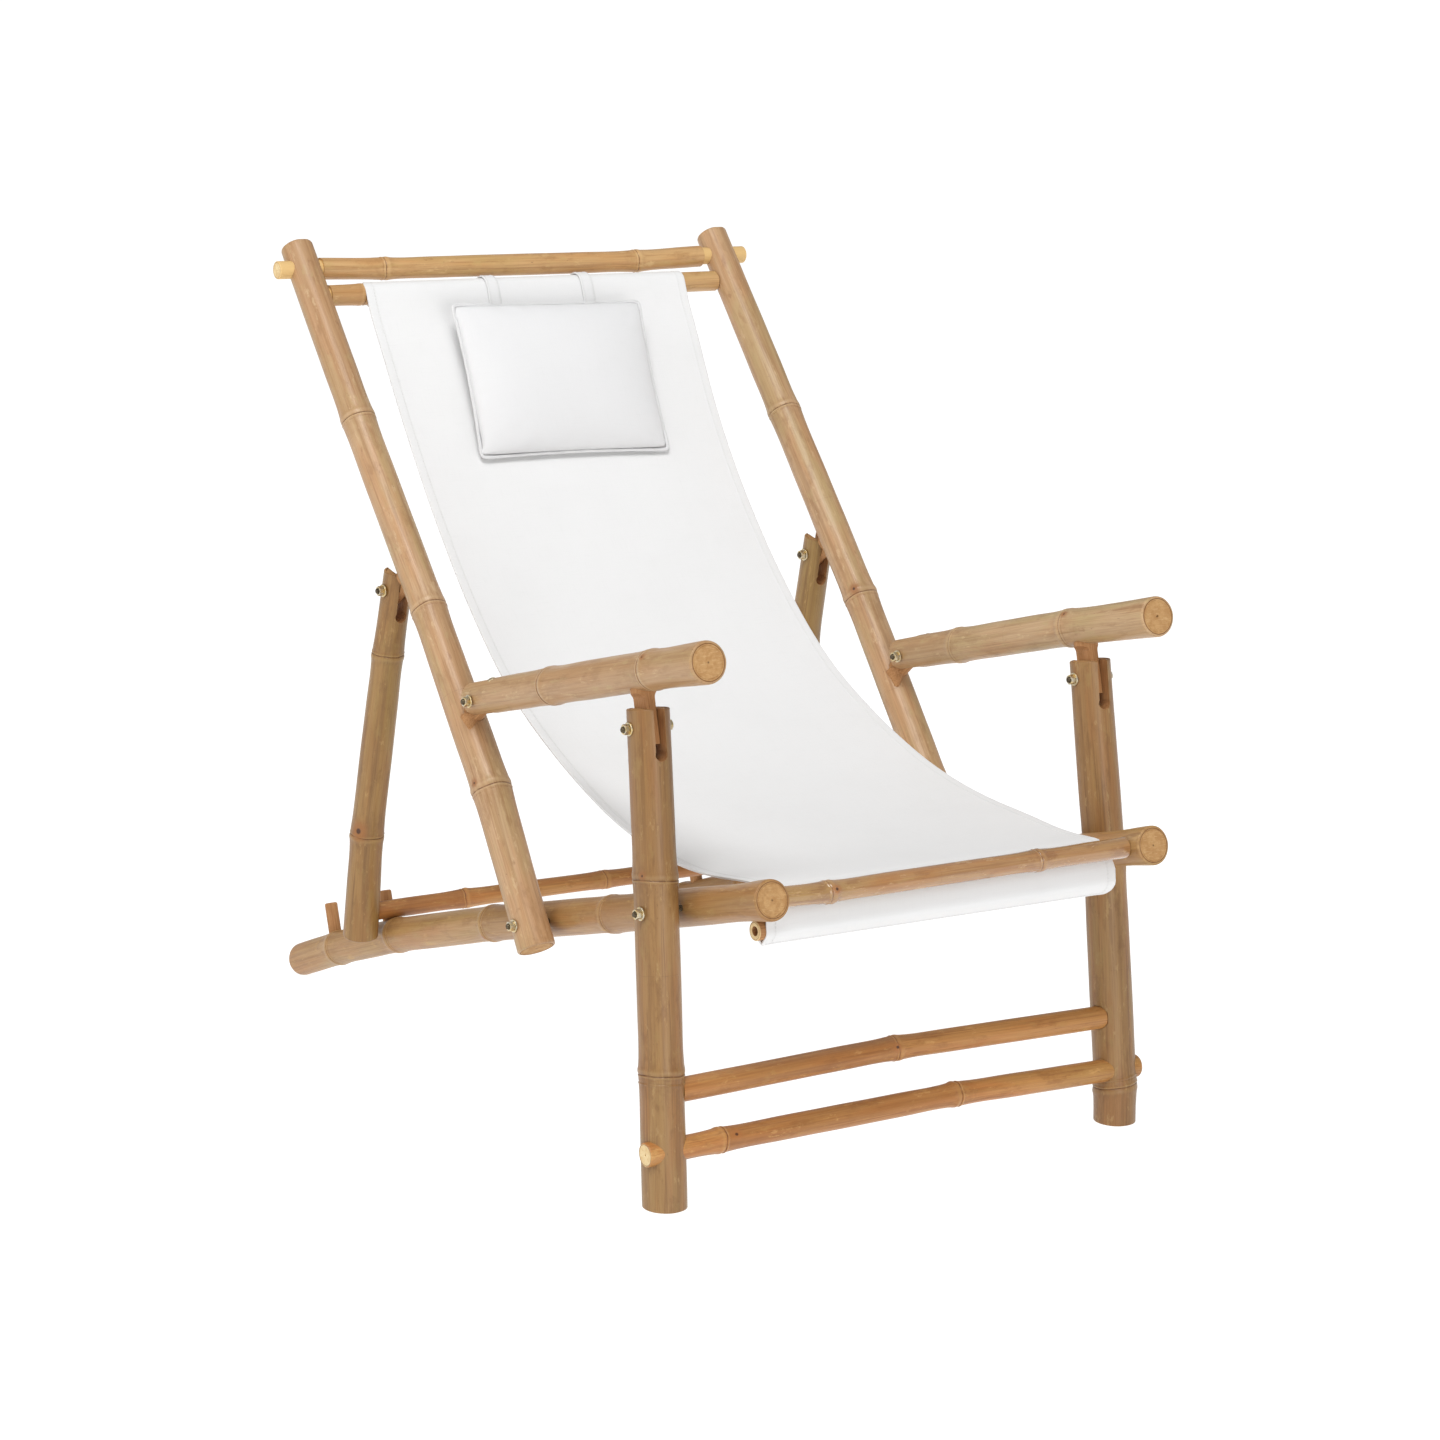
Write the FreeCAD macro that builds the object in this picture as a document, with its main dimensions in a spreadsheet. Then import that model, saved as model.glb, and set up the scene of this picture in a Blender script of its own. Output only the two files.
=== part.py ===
import FreeCAD, Part
import os
import math

# Bamboo folding recliner (deck chair), millimetres.
# Frame: +Z up, the floor is Z = 0, the chair faces -Y, the sitter's right is -X.
# Origin: on the floor, under the middle of the object's box.
# "right" names are on -X, "left" names are on +X.

os.makedirs("parts", exist_ok=True)
doc = FreeCAD.newDocument("bamboo_folding_recliner")
V = FreeCAD.Vector

# ---------------------------------------------------------------- dimensions
dims = doc.addObject("Spreadsheet::Sheet", "dims")
VAL = {}
_row = [0]


def cell(alias, value):
    _row[0] += 1
    dims.set("A%d" % _row[0], alias)
    dims.set("B%d" % _row[0], repr(float(value)))
    dims.setAlias("B%d" % _row[0], alias)
    VAL[alias] = float(value)


# cross positions of the side pieces
cell("rail_x", 226.2)
cell("side_x", 265.4)
cell("leg_top_x", 265.4)
cell("leg_foot_x", 273.5)
# pivots in the side view (y, z)
cell("back_pivot_y", -100.3)
cell("back_pivot_z", 207.9)
cell("leg_pivot_y", -340.4)
cell("leg_pivot_z", 282.0)
cell("post_pivot_y", -304.2)
cell("post_pivot_z", 451.8)
cell("arm_pivot_y", 0.4)
cell("arm_pivot_z", 415.8)
cell("prop_pivot_y", 185.5)
cell("prop_pivot_z", 495.3)
# pivot hardware
cell("bolt_radius", 3.0)
cell("bolt_bore", 3.06)
cell("loose_bore", 7.3)
cell("head_flats", 5.5)
cell("head_thick", 4.0)
cell("washer_radius", 8.0)
cell("washer_thick", 1.5)
cell("nut_radius", 5.6)
cell("nut_thick", 5.0)
cell("bolt_end", 3.6)
# tongue and fork joints
cell("fork_slot", 12.0)
cell("tongue_thick", 10.0)
cell("stub_radius", 11.0)
cell("stub_bore", 11.05)
# bamboo details
cell("node_swell", 0.9)
cell("node_length", 7.0)
cell("node_edge", 0.4)
cell("end_chamfer", 2.2)
cell("bar_chamfer", 1.2)
# cross bars
cell("handle_radius", 11.7)
cell("handle_tenon", 9.6)
cell("handle_half", 298.0)
cell("canvas_bar_radius", 11.2)
cell("canvas_bar_tenon", 8.6)
cell("front_bar_radius", 9.9)
cell("front_bar_tenon", 7.0)
cell("upper_stretcher_radius", 11.7)
cell("lower_stretcher_radius", 11.3)
cell("prop_bar_radius", 9.9)
cell("peg_radius", 7.0)
cell("peg_height", 51.0)
cell("dowel_radius", 9.3)
cell("dowel_hollow", 4.6)
# soft parts
cell("canvas_half_width", 196.0)
cell("canvas_thick", 3.0)
cell("sleeve_gap", 0.4)
cell("sleeve_wall", 2.0)
cell("pillow_width", 240.0)
cell("pillow_height", 182.0)
cell("pillow_thick", 50.0)
cell("strap_width", 18.0)
cell("strap_thick", 1.8)
cell("screw_radius", 1.9)
cell("screw_hole", 1.95)

# culm axis stations: (y, z, radius); both sides of the chair are given,
# because no two culms have their nodes in the same place
STATIONS = {
    "seat_rail_right": [(-464.7, 318.6, 18.2), (-446.0, 313.3, 18.5), (-173.0, 229.8, 18.6),
                        (34.0, 169.0, 18.6), (236.0, 104.0, 18.6), (372.0, 54.2, 18.8), (463.0, 16.2, 18.4)],
    "seat_rail_left": [(-464.7, 318.6, 18.2), (-441.0, 311.8, 18.5), (-205.0, 239.6, 18.6),
                       (-12.0, 182.6, 18.6), (236.0, 104.0, 18.6), (363.0, 57.6, 18.8), (463.0, 16.2, 18.4)],
    "back_pole_right": [(-113.0, 184.6, 19.0), (-18.0, 325.7, 18.8), (124.0, 493.6, 18.3),
                        (280.0, 664.7, 17.8), (421.0, 826.0, 17.3)],
    "back_pole_left": [(-113.0, 184.6, 19.0), (-52.0, 278.0, 18.9), (95.0, 461.0, 18.5),
                       (258.0, 644.0, 17.8), (421.0, 826.0, 17.3)],
    "armrest_right": [(18.4, 410.6, 18.0), (-109.0, 448.6, 18.4), (-288.0, 500.4, 18.8), (-404.0, 531.6, 18.6)],
    "armrest_left": [(18.4, 410.6, 18.0), (-65.0, 435.6, 18.3), (-249.0, 489.6, 18.8), (-404.0, 531.6, 18.6)],
    "prop_right": [(182.2, 514.6, 16.2), (197.6, 425.0, 17.2), (232.0, 229.0, 18.6), (255.6, 102.4, 18.9)],
    "prop_left": [(182.2, 514.6, 16.2), (203.0, 394.0, 17.4), (236.0, 207.0, 18.6), (255.6, 102.4, 18.9)],
    "front_leg_right": [(-303.0, 470.0, 20.0), (-327.6, 304.0, 20.6), (-356.2, 113.0, 21.4), (-375.0, -12.0, 21.6)],
    "front_leg_left": [(-303.0, 470.0, 20.0), (-332.6, 272.0, 20.7), (-369.0, 30.0, 21.5), (-375.0, -12.0, 21.6)],
}
for name in sorted(STATIONS):
    for i, (y, z, r) in enumerate(STATIONS[name]):
        cell("%s_y_%d" % (name, i), y)
        cell("%s_z_%d" % (name, i), z)
        cell("%s_rad_%d" % (name, i), r)

# cross bar stations: (x, sideways rise, fore-aft shift) of the nodes
BAR_NODES = {
    "handle_bar": [(-163.4, -1.0), (-10.0, -3.0), (159.0, -2.2)],
    "canvas_bar": [(-206.0, 0.0), (70.0, 0.0)],
    "front_crossbar": [(-151.0, 8.0), (0.0, 13.0), (97.0, 10.5)],
    "upper_stretcher": [(-4.6, 5.0)],
    "lower_stretcher": [(-190.0, 2.2), (66.5, 4.6)],
    "prop_crossbar": [(-140.0, 0.8), (40.0, 0.6)],
}
doc.recompute()


def expr(o, prop, e):
    o.setExpression(prop, e)


def frame_along(p, d, xref=None):
    """Placement whose local Z runs along d from p; local X is the chair's X where it can be."""
    z = V(d).normalize()
    x = V(1, 0, 0) if abs(z.x) < 0.9 else V(0, 1, 0)
    y = z.cross(x).normalize()
    x = y.cross(z).normalize()
    return FreeCAD.Placement(p, FreeCAD.Rotation(x, y, z, "ZXY"))


def cone(p, d, r0, r1, height, e0=None, e1=None, eh=None):
    c = doc.addObject("Part::Cone", "internode")
    c.Radius1, c.Radius2, c.Height = r0, r1, height
    if e0:
        expr(c, "Radius1", e0)
    if e1:
        expr(c, "Radius2", e1)
    if eh:
        expr(c, "Height", eh)
    c.Placement = frame_along(p, d)
    return c


def cyl(p, d, r, height, er=None, label="cylinder"):
    c = doc.addObject("Part::Cylinder", label)
    c.Radius, c.Height = r, height
    if er:
        expr(c, "Radius", er)
    c.Placement = frame_along(p, d)
    return c


def fuse(objs, name="fused"):
    if len(objs) == 1:
        return objs[0]
    f = doc.addObject("Part::MultiFuse", name)
    f.Shapes = objs
    return f


def cut(base, tools, name="cut"):
    t = tools[0] if len(tools) == 1 else fuse(tools, "tools")
    c = doc.addObject("Part::Cut", name)
    c.Base, c.Tool = base, t
    return c


def box_at(center, size, d=V(0, 0, 1), name="box"):
    """Box with local Z along d, centred on center; size is (x, across, along)."""
    b = doc.addObject("Part::Box", name)
    b.Length, b.Width, b.Height = size
    pl = frame_along(center, d)
    b.Placement = pl.multiply(FreeCAD.Placement(V(-size[0] / 2.0, -size[1] / 2.0, -size[2] / 2.0),
                                                FreeCAD.Rotation()))
    return b


def culm(points, radii, rad_expr=None, len_expr=None, end0=True, end1=True, chamfer="end_chamfer"):
    """A bamboo culm: tapered internodes between the stations, a raised ring at each inner one."""
    inset = 1.0
    solids = []
    n = len(points)
    ch = VAL[chamfer]
    for i in range(n - 1):
        a, b = points[i], points[i + 1]
        d = b - a
        full = d.Length
        u = V(d).normalize()
        s0 = 0.0 if i == 0 else inset
        s1 = full if i == n - 2 else full - inset
        r0, r1 = radii[i], radii[i + 1]
        if i == 0 and end0:
            solids.append(cone(a, u, r0 - ch, r0, ch,
                               (rad_expr[i] + " - dims." + chamfer) if rad_expr else None,
                               rad_expr[i] if rad_expr else None, "dims." + chamfer))
            s0 = ch
        if i == n - 2 and end1:
            s1 = full - ch
            solids.append(cone(a + u * s1, u, r1, r1 - ch, ch,
                               rad_expr[i + 1] if rad_expr else None,
                               (rad_expr[i + 1] + " - dims." + chamfer) if rad_expr else None,
                               "dims." + chamfer))
        eh = None
        if len_expr:
            eh = "%s - %r" % (len_expr[i], s0 + (full - s1))
        solids.append(cone(a + u * s0, u, r0, r1, s1 - s0,
                           rad_expr[i] if rad_expr else None,
                           rad_expr[i + 1] if rad_expr else None, eh))
    for i in range(1, n - 1):
        u = (points[i + 1] - points[i - 1]).normalize()
        w = VAL["node_length"]
        sw = VAL["node_swell"]
        r = radii[i] + sw
        p = points[i] - u * (w / 2.0)
        e = (rad_expr[i] + " + dims.node_swell") if rad_expr else None
        e2 = (rad_expr[i] + " + dims.node_edge") if rad_expr else None
        t = w * 0.3
        solids.append(cone(p, u, radii[i] + VAL["node_edge"], r, t, e2, e))
        solids.append(cyl(p + u * t, u, r, w - 2 * t, e, "node_ring"))
        solids.append(cone(p + u * (w - t), u, r, radii[i] + VAL["node_edge"], t, e, e2))
    return fuse(solids, "culm")


def side_culm(name, x, x_end=None, **kw):
    st = STATIONS[name]
    n = len(st)
    z_hi, z_lo = st[0][1], 0.0
    pts = []
    for (y, z, r) in st:
        xx = x
        if x_end is not None:
            xx = x_end + (x - x_end) * (z - 0.0) / VAL["post_pivot_z"]
        pts.append(V(xx, y, z))
    radii = [s[2] for s in st]
    re = ["dims.%s_rad_%d" % (name, i) for i in range(n)]
    le = None
    if x_end is None:
        le = ["sqrt((dims.%s_y_%d - dims.%s_y_%d) ^ 2 + (dims.%s_z_%d - dims.%s_z_%d) ^ 2)"
              % (name, i + 1, name, i, name, i + 1, name, i) for i in range(n - 1)]
    return culm(pts, radii, re, le, **kw), pts


def bore(x0, x1, y, z, r, er, name="bore"):
    c = cyl(V(min(x0, x1), y, z), V(1, 0, 0), r, abs(x1 - x0), er, name)
    expr(c, "Placement.Base.y", y_expr(y))
    expr(c, "Placement.Base.z", z_expr(z))
    return c


PIV = {}
for p in ("back", "leg", "post", "arm", "prop"):
    PIV[p] = (VAL[p + "_pivot_y"], VAL[p + "_pivot_z"])


def y_expr(y):
    for p in PIV:
        if abs(PIV[p][0] - y) < 1e-9:
            return "dims.%s_pivot_y" % p
    return repr(float(y))


def z_expr(z):
    for p in PIV:
        if abs(PIV[p][1] - z) < 1e-9:
            return "dims.%s_pivot_z" % p
    return repr(float(z))


NODES = []


def node(obj, label):
    obj.Label = label
    NODES.append(obj)
    return obj


SIDES = (("right", -1.0), ("left", 1.0))
rail_x, side_x = VAL["rail_x"], VAL["side_x"]

HANDLE = (403.7, 804.2)
CANVAS_BAR = (383.6, 777.7)
FRONT_BAR = (-443.3, 313.4)
UPPER = (-363.5, 110.0)
LOWER = (-373.8, 55.0)
PROP_BAR = (254.7, 128.2)
DOWEL = (-430.0, 279.4)
cell("handle_y", HANDLE[0])
cell("handle_z", HANDLE[1])
cell("canvas_bar_y", CANVAS_BAR[0])
cell("canvas_bar_z", CANVAS_BAR[1])

# ---------------------------------------------------------------- seat rails
# pegs stand square to the rear part of the rail
RAIL_REAR = (V(0, 372.0, 54.2) - V(0, 236.0, 104.0)).normalize()
RAIL_UP = V(0, -RAIL_REAR.z, RAIL_REAR.y)


def rail_axis_point(s):
    """Point on the rail axis, s mm behind the node at y = 236."""
    return V(0, 236.0, 104.0) + RAIL_REAR * s


bar = V(0, PROP_BAR[0], PROP_BAR[1])
s_bar = (bar - V(0, 236.0, 104.0)).dot(RAIL_REAR)
PEG_S = [s_bar + 17.6, s_bar + 17.6 + 80.0, s_bar + 17.6 + 80.0 + 52.0]
peg_objs = []
for side, sx in SIDES:
    body, pts = side_culm("seat_rail_" + side, sx * rail_x)
    tools = [bore(sx * rail_x - 30, sx * rail_x + 30, PIV["back"][0], PIV["back"][1], 3.06, "dims.bolt_bore"),
             bore(sx * rail_x - 30, sx * rail_x + 30, PIV["leg"][0], PIV["leg"][1], 3.06, "dims.bolt_bore")]
    # blind mortise for the front crossbar
    tools.append(cyl(V(sx * (rail_x - 25), FRONT_BAR[0], FRONT_BAR[1]), V(sx, 0, 0), 7.05, 24.0,
                     "dims.front_bar_tenon + 0.05", "mortise"))
    for s in PEG_S:
        p = rail_axis_point(s)
        p = V(sx * (rail_x - 2.4), p.y, p.z) - RAIL_UP * 6.0
        tools.append(cyl(p, RAIL_UP, 7.05, 40.0, "dims.peg_radius + 0.05", "peg_hole"))
        peg = cyl(p, RAIL_UP, 7.0, 6.0 + VAL["peg_height"] - 2.0, "dims.peg_radius", "peg")
        tip = cone(p + RAIL_UP * (6.0 + VAL["peg_height"] - 2.0), RAIL_UP, 7.0, 5.2, 2.0, "dims.peg_radius",
                   "dims.peg_radius - 1.8")
        peg_objs.append(fuse([peg, tip], "stop_peg"))
    node(cut(body, tools, "rail"), "seat_rail_" + side)
pegs = doc.addObject("Part::Compound", "pegs")
pegs.Links = peg_objs
node(pegs, "stop_pegs")


# ---------------------------------------------------------------- cross bars
def cross_bar(name, y, z, x_body, radius, radius_alias, tenon=None, tenon_alias=None, x_end=None):
    """A bar along X: culm body between -x_body and x_body with the nodes' rises, and round tenons."""
    pts = [V(-x_body, y, z)] + [V(x, y, z + dz) for (x, dz) in BAR_NODES[name]] + [V(x_body, y, z)]
    radii = [radius] * len(pts)
    re = ["dims." + radius_alias] * len(pts)
    objs = [culm(pts, radii, re, None, chamfer="bar_chamfer")]
    if tenon is not None:
        for sx in (-1.0, 1.0):
            c = cyl(V(sx * (x_body - 4.0), y, z), V(sx, 0, 0), tenon, x_end - x_body + 4.0 - 1.2,
                    "dims." + tenon_alias, "tenon")
            e = cone(V(sx * (x_end - 1.2), y, z), V(sx, 0, 0), tenon, tenon - 1.2, 1.2,
                     "dims." + tenon_alias, "dims.%s - 1.2" % tenon_alias)
            objs += [c, e]
    return fuse(objs, name)


def bar_hole(name, at, x_body, sx, r, e):
    """Hole along the line of the bar's last internode on that side."""
    x, rise = BAR_NODES[name][0] if sx < 0 else BAR_NODES[name][-1]
    u = V(x - sx * x_body, 0, rise).normalize()
    return cyl(V(sx * x_body, at[0], at[1]) - u * 30.0, u, r, 110.0, e, "bar_hole")


node(cross_bar("front_crossbar", FRONT_BAR[0], FRONT_BAR[1], 206.5, VAL["front_bar_radius"], "front_bar_radius",
               VAL["front_bar_tenon"], "front_bar_tenon", 224.0), "front_crossbar")
node(cross_bar("handle_bar", HANDLE[0], HANDLE[1], 246.6, VAL["handle_radius"], "handle_radius",
               VAL["handle_tenon"], "handle_tenon", VAL["handle_half"]), "handle_bar")
node(cross_bar("canvas_bar", CANVAS_BAR[0], CANVAS_BAR[1], 246.6, VAL["canvas_bar_radius"], "canvas_bar_radius",
               VAL["canvas_bar_tenon"], "canvas_bar_tenon", 274.0), "canvas_bar")
node(cross_bar("upper_stretcher", UPPER[0], UPPER[1], 249.0, VAL["upper_stretcher_radius"],
               "upper_stretcher_radius", 9.0, "canvas_bar_tenon", 268.0), "upper_stretcher")
# the lower stretcher and the prop crossbar pass right through at full thickness
node(cross_bar("lower_stretcher", LOWER[0], LOWER[1], 298.0, VAL["lower_stretcher_radius"],
               "lower_stretcher_radius"), "lower_stretcher")
node(cross_bar("prop_crossbar", PROP_BAR[0], PROP_BAR[1], 286.5, VAL["prop_bar_radius"], "prop_bar_radius"),
     "prop_crossbar")


# ---------------------------------------------------------------- forks and stubs
def fork_slot(pivot, toward_end, reach_in, reach_out, x):
    """Open slot in a culm's end: its plane is square to X, it runs along toward_end."""
    u = V(0, toward_end[0], toward_end[1]).normalize()
    r = VAL["fork_slot"] / 2.0
    straight = reach_in - r
    c = V(x, pivot[0], pivot[1]) + u * ((reach_out - straight) / 2.0)
    b = box_at(c, (VAL["fork_slot"], 60.0, straight + reach_out), u, "fork_slot")
    expr(b, "Length", "dims.fork_slot")
    across = V(0, u.z, -u.y)
    end = V(x, pivot[0], pivot[1]) - u * straight
    return fuse([b, cyl(end - across * 30.0, across, r, 60.0, "dims.fork_slot / 2", "slot_end")], "slot")


def stub(root, pivot, x, flat_from, width_r=None, over=11.0, hole_r=3.06, hole_e="dims.bolt_bore"):
    """Round stub from root to the pivot, flattened to a tongue over its last flat_from mm."""
    r = width_r or VAL["stub_radius"]
    a = V(x, root[0], root[1])
    p = V(x, pivot[0], pivot[1])
    u = (p - a).normalize()
    length = (p - a).Length + over
    rod = cyl(a, u, r, length, "dims.stub_radius" if width_r is None else None, "stub")
    th = VAL["tongue_thick"]
    sides = []
    for sx in (-1.0, 1.0):
        c = p + V(sx * (th / 2.0 + 10.0), 0, 0) + u * ((over + 2.0 - flat_from) / 2.0)
        sides.append(box_at(c, (20.0, 60.0, flat_from + over + 2.0), u, "flat"))
    sides.append(cyl(V(x - 20, pivot[0], pivot[1]), V(1, 0, 0), hole_r, 40.0, hole_e, "pin_hole"))
    return cut(rod, sides, "tongue"), a, u


def screw_at(x):
    """Point on the armrest's axis under the dome-headed screw, beyond the end of the fork slot."""
    return V(x, -27.4, 424.26)


def screw_dir(sx):
    return V(sx * 0.309, 0.2718, 0.9114).normalize()


for side, sx in SIDES:
    X = sx * side_x
    # back pole
    body, pts = side_culm("back_pole_" + side, X)
    tools = [bore(X - 30, X + 30, PIV["back"][0], PIV["back"][1], 3.06, "dims.bolt_bore")]
    h = cyl(V(X - 30, HANDLE[0], HANDLE[1]), V(1, 0, 0), 9.65, 60.0, "dims.handle_tenon + 0.05", "handle_hole")
    expr(h, "Placement.Base.y", "dims.handle_y")
    expr(h, "Placement.Base.z", "dims.handle_z")
    tools.append(h)
    x0 = X - 30 if sx > 0 else X - 10.0
    tools.append(cyl(V(x0, CANVAS_BAR[0], CANVAS_BAR[1]), V(1, 0, 0), 8.65, 40.0, "dims.canvas_bar_tenon + 0.05",
                     "canvas_bar_hole"))
    arm_root = (34.0, 386.6)
    prop_root = (153.9, 522.2)
    for root, piv in ((arm_root, PIV["arm"]), (prop_root, PIV["prop"])):
        u = (V(0, piv[0], piv[1]) - V(0, root[0], root[1])).normalize()
        tools.append(cyl(V(X, root[0], root[1]), u, 11.05, 30.0, "dims.stub_bore", "stub_hole"))
    node(cut(body, tools, "pole"), "back_pole_" + side)
    s1, a1, u1 = stub(arm_root, PIV["arm"], X, 25.6)
    node(s1, "arm_hinge_stub_" + side)
    s2, a2, u2 = stub(prop_root, PIV["prop"], X, 19.6)
    node(s2, "prop_hinge_stub_" + side)

    # armrest with the fork at its rear end and the mortise of its post
    body, pts = side_culm("armrest_" + side, X)
    axis = (pts[0] - pts[1]).normalize()
    post_dir = V(0, 0.2751, 0.9614)
    foot = V(X, PIV["post"][0], PIV["post"][1])
    tools = [fork_slot(PIV["arm"], (axis.y, axis.z), 24.0, 40.0, X),
             bore(X - 30, X + 30, PIV["arm"][0], PIV["arm"][1], 3.06, "dims.bolt_bore"),
             cyl(foot + post_dir * 20.0, post_dir, 11.05, 38.0, "dims.stub_bore", "post_mortise"),
             cyl(screw_at(X) + screw_dir(sx) * 5.0, screw_dir(sx), 1.95, 40.0, "dims.screw_hole", "screw_hole")]
    node(cut(body, tools, "arm"), "armrest_" + side)
    # arm post: round in the armrest, flattened in the leg's fork, with a loose bolt hole
    top = foot + post_dir * 57.0
    s3, a3, u3 = stub((top.y, top.z), PIV["post"], X, 28.0, None, 17.0, VAL["loose_bore"], "dims.loose_bore")
    node(s3, "arm_post_" + side)

    # front leg: forked top, flat foot
    body, pts = side_culm("front_leg_" + side, sx * VAL["leg_top_x"], sx * VAL["leg_foot_x"])
    axis = (pts[0] - pts[1]).normalize()
    floor = box_at(V(X, -375.0, -30.0), (120.0, 120.0, 60.0), V(0, 0, 1), "floor_cut")
    tools = [fork_slot(PIV["post"], (axis.y, axis.z), 31.0, 40.0, X),
             bore(X - 34, X + 34, PIV["post"][0], PIV["post"][1], 3.06, "dims.bolt_bore"),
             bore(X - 34, X + 34, PIV["leg"][0], PIV["leg"][1], 3.06, "dims.bolt_bore"),
             cyl(V(sx * 240.0, UPPER[0], UPPER[1]), V(sx, 0, 0), 8.65, 29.0, "dims.canvas_bar_tenon + 0.05",
                 "stretcher_mortise"),
             bar_hole("lower_stretcher", LOWER, 298.0, sx, 11.35, "dims.lower_stretcher_radius + 0.05"), floor]
    node(cut(body, tools, "leg"), "front_leg_" + side)

    # rear prop: forked top with rounded ears
    body, pts = side_culm("prop_" + side, X, end0=False)
    axis = (pts[0] - pts[1]).normalize()
    piv = V(X, PIV["prop"][0], PIV["prop"][1])
    ear = cyl(V(X - 30, piv.y, piv.z), V(1, 0, 0), 19.6, 60.0, None, "ear_round")
    keep = box_at(piv - axis * 250.0, (60.0, 60.0, 500.0), axis, "keep")
    limit = fuse([ear, keep], "ear_limit")
    ears = doc.addObject("Part::Common", "eared_culm")
    ears.Base, ears.Tool = body, limit
    tools = [fork_slot(PIV["prop"], (axis.y, axis.z), 31.0, 40.0, X),
             bore(X - 30, X + 30, PIV["prop"][0], PIV["prop"][1], 3.06, "dims.bolt_bore"),
             bar_hole("prop_crossbar", PROP_BAR, 286.5, sx, 9.95, "dims.prop_bar_radius + 0.05")]
    node(cut(ears, tools, "prop"), "prop_" + side)

    # dome-headed screw on the armrest's rear end
    sd = screw_dir(sx)
    sp = screw_at(X)
    shank = cyl(sp + sd * 6.0, sd, 1.9, 13.0, "dims.screw_radius", "screw_shank")
    ball = doc.addObject("Part::Sphere", "screw_dome")
    ball.Radius = 5.0
    ball.Angle1 = 25
    ball.Angle2 = 90
    ball.Placement = frame_along(sp + sd * 16.15, sd)
    node(fuse([shank, ball], "screw"), "armrest_screw_" + side)


# ---------------------------------------------------------------- pivot bolts, nuts and washers
def hex_prism(p, d, flats_r, thick, name):
    h = doc.addObject("Part::Prism", name)
    h.Polygon = 6
    h.Circumradius = flats_r
    h.Height = thick
    h.Placement = frame_along(p, d)
    return h


def hardware(pivot, x_out, x_in, sx):
    """One bolt, its two washers and its nut; x_out and x_in are the wood faces. All heads are on +X, all nuts on -X."""
    y, z = PIV[pivot]
    wt = VAL["washer_thick"]
    head_wood, nut_wood = (x_out, x_in) if sx > 0 else (-x_in, -x_out)
    out = V(1, 0, 0)
    head_face = head_wood + wt
    nut_face = nut_wood - wt
    start = V(head_face, y, z)
    length = head_face - nut_face + VAL["nut_thick"] + VAL["bolt_end"]
    tip = 1.0
    shank = cyl(start, out * -1.0, VAL["bolt_radius"], length - tip, "dims.bolt_radius", "shank")
    point = cone(start - out * (length - tip), out * -1.0, VAL["bolt_radius"], VAL["bolt_radius"] - 0.8, tip,
                 "dims.bolt_radius", "dims.bolt_radius - 0.8")
    head = hex_prism(start, out, VAL["head_flats"], VAL["head_thick"], "head")
    expr(head, "Circumradius", "dims.head_flats")
    expr(head, "Height", "dims.head_thick")
    bolt = fuse([shank, point, head], "bolt")
    ws = []
    for face in (head_wood, nut_face):
        w = cyl(V(face, y, z), out, VAL["washer_radius"], wt, "dims.washer_radius", "washer_disc")
        expr(w, "Height", "dims.washer_thick")
        hole = cyl(V(face - 1, y, z), out, VAL["bolt_bore"], wt + 2, "dims.bolt_bore", "washer_hole")
        ws.append(cut(w, [hole], "washer"))
    n = hex_prism(V(nut_face - VAL["nut_thick"], y, z), out, VAL["nut_radius"], VAL["nut_thick"], "nut")
    expr(n, "Circumradius", "dims.nut_radius")
    nh = cyl(V(nut_face - VAL["nut_thick"] - 1, y, z), out, VAL["bolt_bore"], VAL["nut_thick"] + 2,
             "dims.bolt_bore", "nut_hole")
    nut = cut(n, [nh], "nut")
    return bolt, ws, nut


def group(objs, label):
    c = doc.addObject("Part::Compound", label)
    c.Links = objs
    return node(c, label)


sets = {}
for side, sx in SIDES:
    sets[("back", side)] = hardware("back", side_x + 19.3, rail_x - 18.9, sx)
    sets[("leg", side)] = hardware("leg", 289.6, rail_x - 18.9, sx)
    sets[("post", side)] = hardware("post", side_x + 20.4, side_x - 20.4, sx)
    sets[("arm", side)] = hardware("arm", side_x + 18.3, side_x - 18.3, sx)
    sets[("prop", side)] = hardware("prop", side_x + 16.6, side_x - 16.6, sx)
for p, label in (("back", "back_hinge"), ("leg", "leg_hinge"), ("post", "arm_post_hinge"), ("prop", "prop_hinge")):
    group([sets[(p, "right")][0], sets[(p, "left")][0]], label + "_bolts")
    group(sets[(p, "right")][1] + sets[(p, "left")][1], label + "_washers")
    group([sets[(p, "right")][2], sets[(p, "left")][2]], label + "_nuts")
for side, sx in SIDES:
    b, ws, n = sets[("arm", side)]
    node(b, "armrest_bolt_" + side)
    group(ws, "armrest_washers_" + side)
    node(n, "armrest_nut_" + side)

# ---------------------------------------------------------------- hem dowel
d_out = cyl(V(-221.0, DOWEL[0], DOWEL[1]), V(1, 0, 0), VAL["dowel_radius"], 442.0, "dims.dowel_radius", "dowel")
d_in = cyl(V(-231.0, DOWEL[0], DOWEL[1]), V(1, 0, 0), VAL["dowel_hollow"], 462.0, "dims.dowel_hollow", "hollow")
node(cut(d_out, [d_in], "hem_dowel_tube"), "hem_dowel")


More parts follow.
